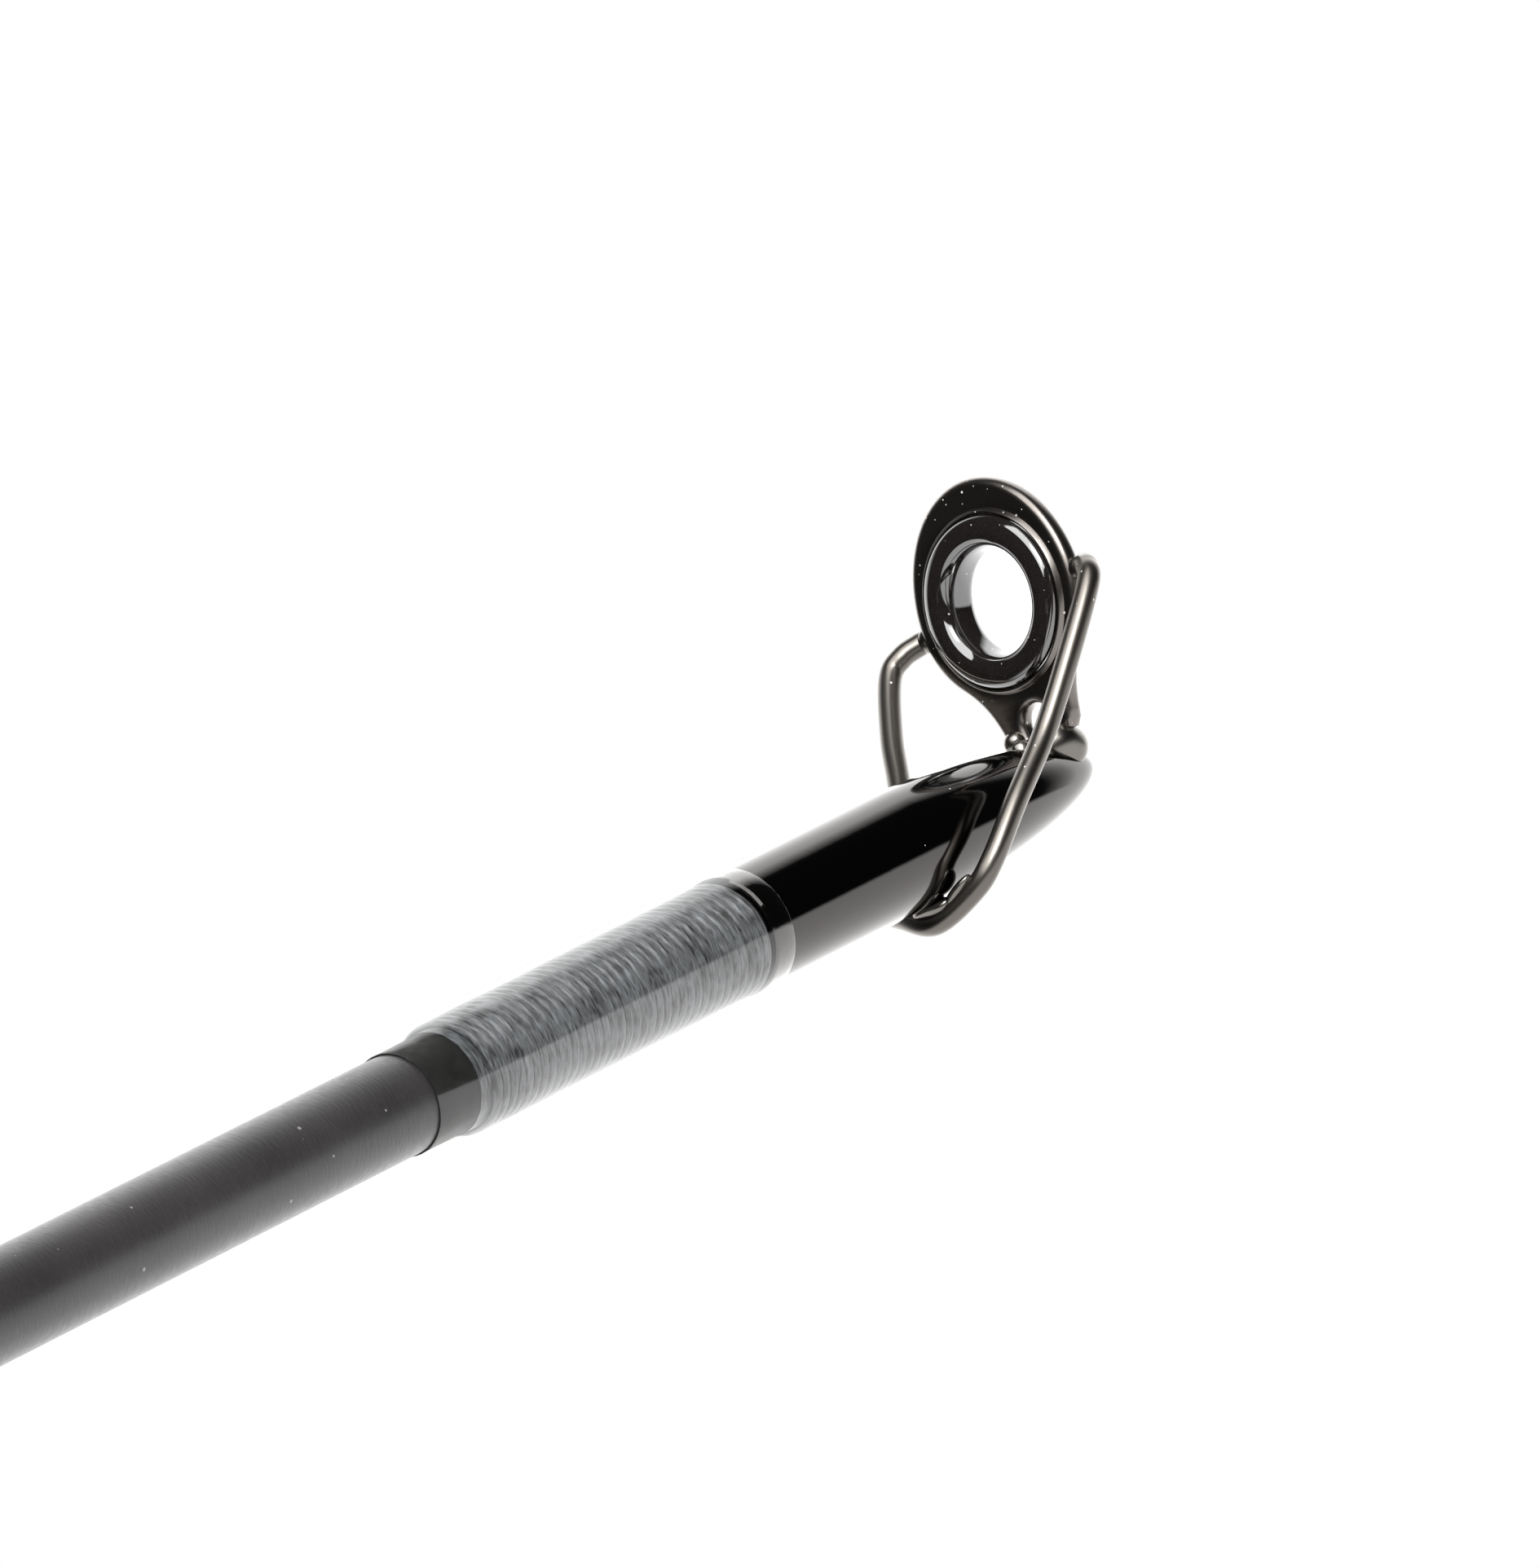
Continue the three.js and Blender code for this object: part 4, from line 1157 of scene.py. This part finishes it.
def build_crank(settings):
    black, silver, steel = reel_finishes()
    lobes = 5
    star = []
    for k in range(160):
        angle = 2 * math.pi * k / 160
        wave = math.cos(lobes * angle)
        radius = 8.6 + 3.3 * wave
        star.append(Vector((radius * math.cos(angle), radius * math.sin(angle))))
    hole = arc(0, 0, 2.12, 2.12, 0, 360, 40)[:-1]
    plate = plate_mesh([star, hole], 2.1, 0.6, reel_plane(DRIVE.x, -26.35, DRIVE.z))
    hub = around_drive(rounded([(-28.1, 2.12), (-28.1, 4.2), (-27, 4.4), (-25.6, 4.4), (-25.6, 2.12)], 0.4))
    covers(make_object("star_wheel", *merged(plate, hub), black, "star"), "star_drag")

    reach = (KNOB - DRIVE).length
    tilt = math.atan2(KNOB.z - DRIVE.z, KNOB.x - DRIVE.x)
    arm = arc(0, 0, 5, 5, 90, 270, 24) + [Vector((8, -3.4)), Vector((reach - 8, -2.9))]
    arm += arc(reach, 0, 3.6, 3.6, -90, 90, 20) + [Vector((reach - 8, 2.9)), Vector((8, 3.4))]
    holes = [arc(0, 0, 2.1, 2.1, 0, 360, 36)[:-1], arc(reach, 0, 1.3, 1.3, 0, 360, 24)[:-1]]
    window = arc(11, 0, 1.4, 1.4, 90, 270, 12) + arc(17, 0, 1.2, 1.2, -90, 90, 12)
    near, far = high("crank_arm").y, low("crank_arm").y
    place = reel_plane(DRIVE.x, (near + far) / 2, DRIVE.z) @ Matrix.Rotation(tilt, 4, "Z")
    crank = plate_mesh([arm, *holes, window], near - far, 0.35, place)
    covers(make_object("crank_plate", *crank, silver, "drive_set"), "crank_arm")

    hexagon = rounded([(3.9 * math.cos(math.radians(60 * k)), 3.9 * math.sin(math.radians(60 * k))) for k in range(6)], 0.4)
    round_hole = arc(0, 0, 2.05, 2.05, 0, 360, 36)[:-1]
    nut = plate_mesh([hexagon, round_hole], 2.35, 0.3, reel_plane(DRIVE.x, -31.4, DRIVE.z))
    covers(make_object("handle_hex_nut", *nut, steel, "drive_set"), "handle_nut")

    centre = (KNOB.x, 0, KNOB.z)
    pin = [(-28.1, 0), (-28.1, 1.2), (-44.9, 1.2), (-44.9, 2.6), (-45.8, 2.2), (-45.8, 0)]
    rivet = turned("knob_rivet", pin, steel, "drive_set", "Y", centre, 48, 0.2)
    covers(rivet, "knob_pin")
    grip = [(-31, 1.3), (-31, 4), (-33, 4.8), (-37, 5.6), (-41, 7), (-43.2, 7.3), (-44.8, 6), (-44.8, 1.3)]

    def flattened(point):
        off = Vector((point.x - KNOB.x, 0, point.z - KNOB.z))
        angle = math.atan2(off.z, off.x)
        keep = 1 - 0.035 * max(0.0, math.cos(12 * angle)) ** 2 * (off.length > 4.5)
        return Vector((KNOB.x + off.x * keep, point.y, KNOB.z + off.z * keep))

    knob = turned(
        "crank_knob_grip", rounded(grip, 1.2, 6), bpy.data.materials["moulded_rubber"], "knob", "Y", centre, 144,
        shape=flattened,
    )
    covers(knob, "crank_knob")


def build_controls(settings):
    black, silver, steel = reel_finishes()
    cap_low, cap_high = low("cast_control_cap").y, high("cast_control_cap").y

    def knurled(point):
        off = Vector((point.x - SPOOL.x, 0, point.z - SPOOL.z))
        if off.length < 5:
            return point
        angle = math.atan2(off.z, off.x)
        keep = 1 - 0.04 * max(0.0, math.cos(28 * angle))
        return Vector((SPOOL.x + off.x * keep, point.y, SPOOL.z + off.z * keep))

    outline = [(cap_low, 0), (cap_low, 5.4), (cap_high - 0.8, 5.3), (cap_high, 4.6), (cap_high, 2.2), (cap_high - 0.4, 1.8), (cap_high - 0.4, 0)]
    cap = turned(
        "brake_cap", outline, silver, "brake_cap", "Y", (SPOOL.x, 0, SPOOL.z), 224, 0.3, knurled
    )
    covers(cap, "cast_control_cap")

    pivot_x, pivot_z = SPOOL.x - 4, SPOOL.z + 10
    border = arc(0, 0, 2.6, 2.6, -130, 40, 24)
    border += [Vector((0.6, 2.1)), Vector((-4, 3.6)), Vector((-9.6, 6.2))]
    border += arc(-11.2, 5.1, 1.7, 1.7, 60, 240, 14)
    border += [Vector((-6, 0.6))]
    lever = plate_mesh([border], 1.4, 0.35, reel_plane(pivot_x, -23.9, pivot_z))
    boss = lathe_mesh(rounded([(-25.0, 0), (-25.0, 1.5), (-24.4, 1.9), (-24.4, 0)], 0.2, closed=False), "Y", (pivot_x, 0, pivot_z), 36)
    piece = make_object("clutch_lever", *merged(lever, boss), black, "clutch_lever")
    covers(piece, "free_spool_lever")

    near, far = low("click_button"), high("click_button")
    slab = rounded([(near.x, near.z), (far.x, near.z), (far.x, far.z), (near.x, far.z)], 0.7)
    cx, cz = (near.x + far.x) / 2, (near.z + far.z) / 2
    shape = [(p.x - cx, p.y - cz) for p in slab]
    base = plate_mesh([shape], 1.0, 0.25, reel_plane(cx, near.y + 0.5, cz))
    ribs = []
    for k in (-1.2, 0, 1.2):
        rib = rounded([(k - 0.35, -1.1), (k + 0.35, -1.1), (k + 0.35, 1.1), (k - 0.35, 1.1)], 0.2)
        ribs.append(plate_mesh([rib], 0.7, 0.15, reel_plane(cx, near.y + 1.2, cz)))
    button = make_object("click_slider", *merged(base, *ribs), silver, "click")
    covers(button, "click_button")


def finish_hidden_pieces(settings):
    """Materials for the pieces that keep their modelled shape inside the reel and the tip tube."""
    steel, brass = bpy.data.materials["ground_steel"], cut_brass()
    finishes = {
        "bearing_left": steel, "bearing_right": steel, "spool_shaft": steel, "drive_shaft": steel,
        "drag_spring": steel, "pinion": brass, "drive_gear": brass, "drag_washer": greased_carbon(),
        "tip_adhesive": hot_melt(),
    }
    for name, material in finishes.items():
        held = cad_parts[name].data.materials
        held.clear()
        held.append(material)


# ---------- stage ----------

# The view: directions of its right, its up and its back in the rod's frame.
VIEW_RIGHT = Vector((0.596, -0.670, -0.442))
VIEW_UP = Vector((0.299, -0.326, 0.897))
VIEW_BACK = Vector((-0.745, -0.667, 0.006))
FRAME_HEIGHT = 32.9  # millimetres across the tall side of the picture


def build_camera(settings):
    camera = bpy.data.cameras.new("camera")
    camera.lens = settings.lens
    camera.sensor_width = 36
    camera.clip_start, camera.clip_end = 0.05, 200
    holder = bpy.data.objects.new("camera", camera)
    bpy.context.scene.collection.objects.link(holder)
    bpy.context.scene.camera = holder
    distance = FRAME_HEIGHT * camera.lens / camera.sensor_width
    aim = Vector((NOSE_X - 0.4, 0, 3.86)) - VIEW_RIGHT * 4.70 - VIEW_UP * 3.90
    back = VIEW_BACK.normalized()
    right = (VIEW_RIGHT - back * VIEW_RIGHT.dot(back)).normalized()
    up = back.cross(right)
    place = Matrix((right, up, back)).transposed().to_4x4()
    place.translation = (aim + back * distance) * MM
    holder.matrix_world = place


def build_lights(settings):
    """White cove behind and below, dark room on the viewer's side, and two soft boxes."""
    world = bpy.data.worlds.new("studio")
    bpy.context.scene.world = world
    world.use_nodes = True
    tree = world.node_tree
    tree.nodes.clear()
    out = node(tree, "ShaderNodeOutputWorld")
    direction = node(tree, "ShaderNodeTexCoord").outputs["Generated"]

    def towards(vector, low_at, high_at, low_value=0.0, high_value=1.0):
        dot = node(
            tree, "ShaderNodeVectorMath", props={"operation": "DOT_PRODUCT"},
            values={1: tuple(Vector(vector).normalized())}, links={0: direction},
        ).outputs["Value"]
        return spread(tree, dot, low_value, high_value, low_at, high_at)

    cove = towards(-VIEW_BACK, 0.42, 0.6)
    table = towards((0, 0, -1), 0.24, 0.30)
    bright = node(tree, "ShaderNodeMath", props={"operation": "MAXIMUM"}, links={0: cove, 1: table})
    studio = node(
        tree, "ShaderNodeBackground",
        links={
            "Color": two_tone(tree, bright.outputs["Value"], "#1c1c1c", "#ffffff"),
            "Strength": towards(-VIEW_BACK, 0.1, 0.95, 1.5, 2.6),
        },
    )
    white = node(tree, "ShaderNodeBackground", values={"Color": (1, 1, 1, 1), "Strength": 1.0})
    bpy.context.scene.view_settings.view_transform = "Standard"
    seen = node(tree, "ShaderNodeLightPath").outputs["Is Camera Ray"]
    mixed = node(
        tree, "ShaderNodeMixShader", links={0: seen, 1: studio.outputs["Background"], 2: white.outputs["Background"]}
    )
    tree.links.new(mixed.outputs["Shader"], out.inputs["Surface"])

    middle_point = Vector((0.36, 0, 0))
    boxes = [
        ("top_box", (-0.3, -0.5, 0.8), 1.2, 28.0 * settings.light_power, 1.5, True),
        ("key_box", (-0.15, -0.75, 0.65), 1.0, 10.0 * settings.light_power, 0.42, True),
        ("fill_box", (-0.1, -0.2, 1.0), 1.6, 14.0 * settings.light_power, 2.0, False),
    ]
    for name, direction_from, distance, power, size, mirrored in boxes:
        light = bpy.data.lights.new(name, "AREA")
        light.shape, light.size, light.energy = "SQUARE", size, power
        box = bpy.data.objects.new(name, light)
        bpy.context.scene.collection.objects.link(box)
        box.location = middle_point + Vector(direction_from).normalized() * distance
        box.rotation_mode = "QUATERNION"
        box.rotation_quaternion = Vector(direction_from).to_track_quat("Z", "Y")
        box.visible_camera = False
        box.visible_glossy = mirrored


def build_floor(settings):
    """A round white board just under the reel."""
    level = CAD_BOX[0].z / MM - 2
    board = [(level - 0.3, 0), (level - 0.3, 499.7), (level, 500), (level, 0)]
    verts, faces = lathe_mesh(board, "Y", segments=128)
    verts = [Vector((v.x + 330, -v.z, v.y)) for v in verts]
    piece = make_object("floor", verts, faces, pale_floor(), None)
    piece.visible_glossy = False


# ---------- add-on ----------


class RodSettings(bpy.types.PropertyGroup):
    """Sizes of the rod that a user would change."""

    thread_pitch: bpy.props.FloatProperty(
        name="Thread pitch", description="Distance between the turns of the tip winding",
        default=0.000265, min=0.0001, max=0.001, precision=6, unit="LENGTH",
    )


class StageSettings(bpy.types.PropertyGroup):
    """Camera and light settings."""

    lens: bpy.props.FloatProperty(
        name="Lens", description="Focal length of the close-up lens in millimetres", default=1000.0, min=50.0
    )
    light_power: bpy.props.FloatProperty(
        name="Light power", description="Power of the soft boxes as a share of the usual", default=1.0, min=0.0,
        subtype="FACTOR",
    )


def operator(idname, label, doc, steps, settings_name):
    """An operator class that runs building steps with one group of settings."""

    def execute(self, context):
        for step in steps:
            step(getattr(context.scene, settings_name))
        return {"FINISHED"}

    members = {"bl_idname": idname, "bl_label": label, "__doc__": doc, "execute": execute}
    return type(idname.replace("rod.", "ROD_OT_"), (bpy.types.Operator,), members)


OPERATORS = [
    operator("rod.build_blank", "Blank", "Builds the sanded glass fibre blank", [build_blank], "rod_settings"),
    operator("rod.build_tip_top", "Tip-top", "Builds tube, ring frame, ceramic ring, brace and braze", [build_tip_top], "rod_settings"),
    operator("rod.build_tip_wrap", "Tip winding", "Winds the tip thread and coats it", [build_tip_wrap], "rod_settings"),
    operator("rod.build_guides", "Guides", "Builds the running guides and their windings", [build_guides], "rod_settings"),
    operator("rod.build_handle", "Handle", "Builds grips, seat, hood, lock nut and hook keeper", [build_handle], "rod_settings"),
    operator("rod.build_reel_body", "Reel body", "Builds foot, frame and side plates", [build_reel_body], "rod_settings"),
    operator("rod.build_spool", "Spool", "Builds the spool", [build_spool], "rod_settings"),
    operator("rod.build_crank", "Crank", "Builds star wheel, crank, nut, rivet and knob", [build_crank], "rod_settings"),
    operator("rod.build_controls", "Controls", "Builds brake cap, clutch lever and click button", [build_controls], "rod_settings"),
    operator("rod.finish_hidden", "Inner pieces", "Gives the inner pieces their finish", [finish_hidden_pieces], "rod_settings"),
    operator("rod.build_stage", "Stage", "Builds camera, lights and floor", [build_camera, build_lights, build_floor], "stage_settings"),
]


class ROD_PT_panel(bpy.types.Panel):
    """Lists the building steps."""

    bl_idname = "ROD_PT_panel"
    bl_label = "Fishing rod and reel"
    bl_space_type = "VIEW_3D"
    bl_region_type = "UI"
    bl_category = "Rod"

    def draw(self, context):
        layout = self.layout
        layout.prop(context.scene.rod_settings, "thread_pitch")
        layout.prop(context.scene.stage_settings, "lens")
        layout.prop(context.scene.stage_settings, "light_power")
        for made in OPERATORS:
            layout.operator(made.bl_idname)


CLASSES = [RodSettings, StageSettings, *OPERATORS, ROD_PT_panel]


def register():
    for made in CLASSES:
        bpy.utils.register_class(made)
    bpy.types.Scene.rod_settings = bpy.props.PointerProperty(type=RodSettings)
    bpy.types.Scene.stage_settings = bpy.props.PointerProperty(type=StageSettings)


def unregister():
    del bpy.types.Scene.stage_settings
    del bpy.types.Scene.rod_settings
    for made in reversed(CLASSES):
        bpy.utils.unregister_class(made)


def main():
    """Builds everything in order, then writes the packed box and the visual box."""
    register()
    for made in OPERATORS:
        group, name = made.bl_idname.split(".")
        getattr(getattr(bpy.ops, group), name)()


if __name__ == "__main__":
    main()
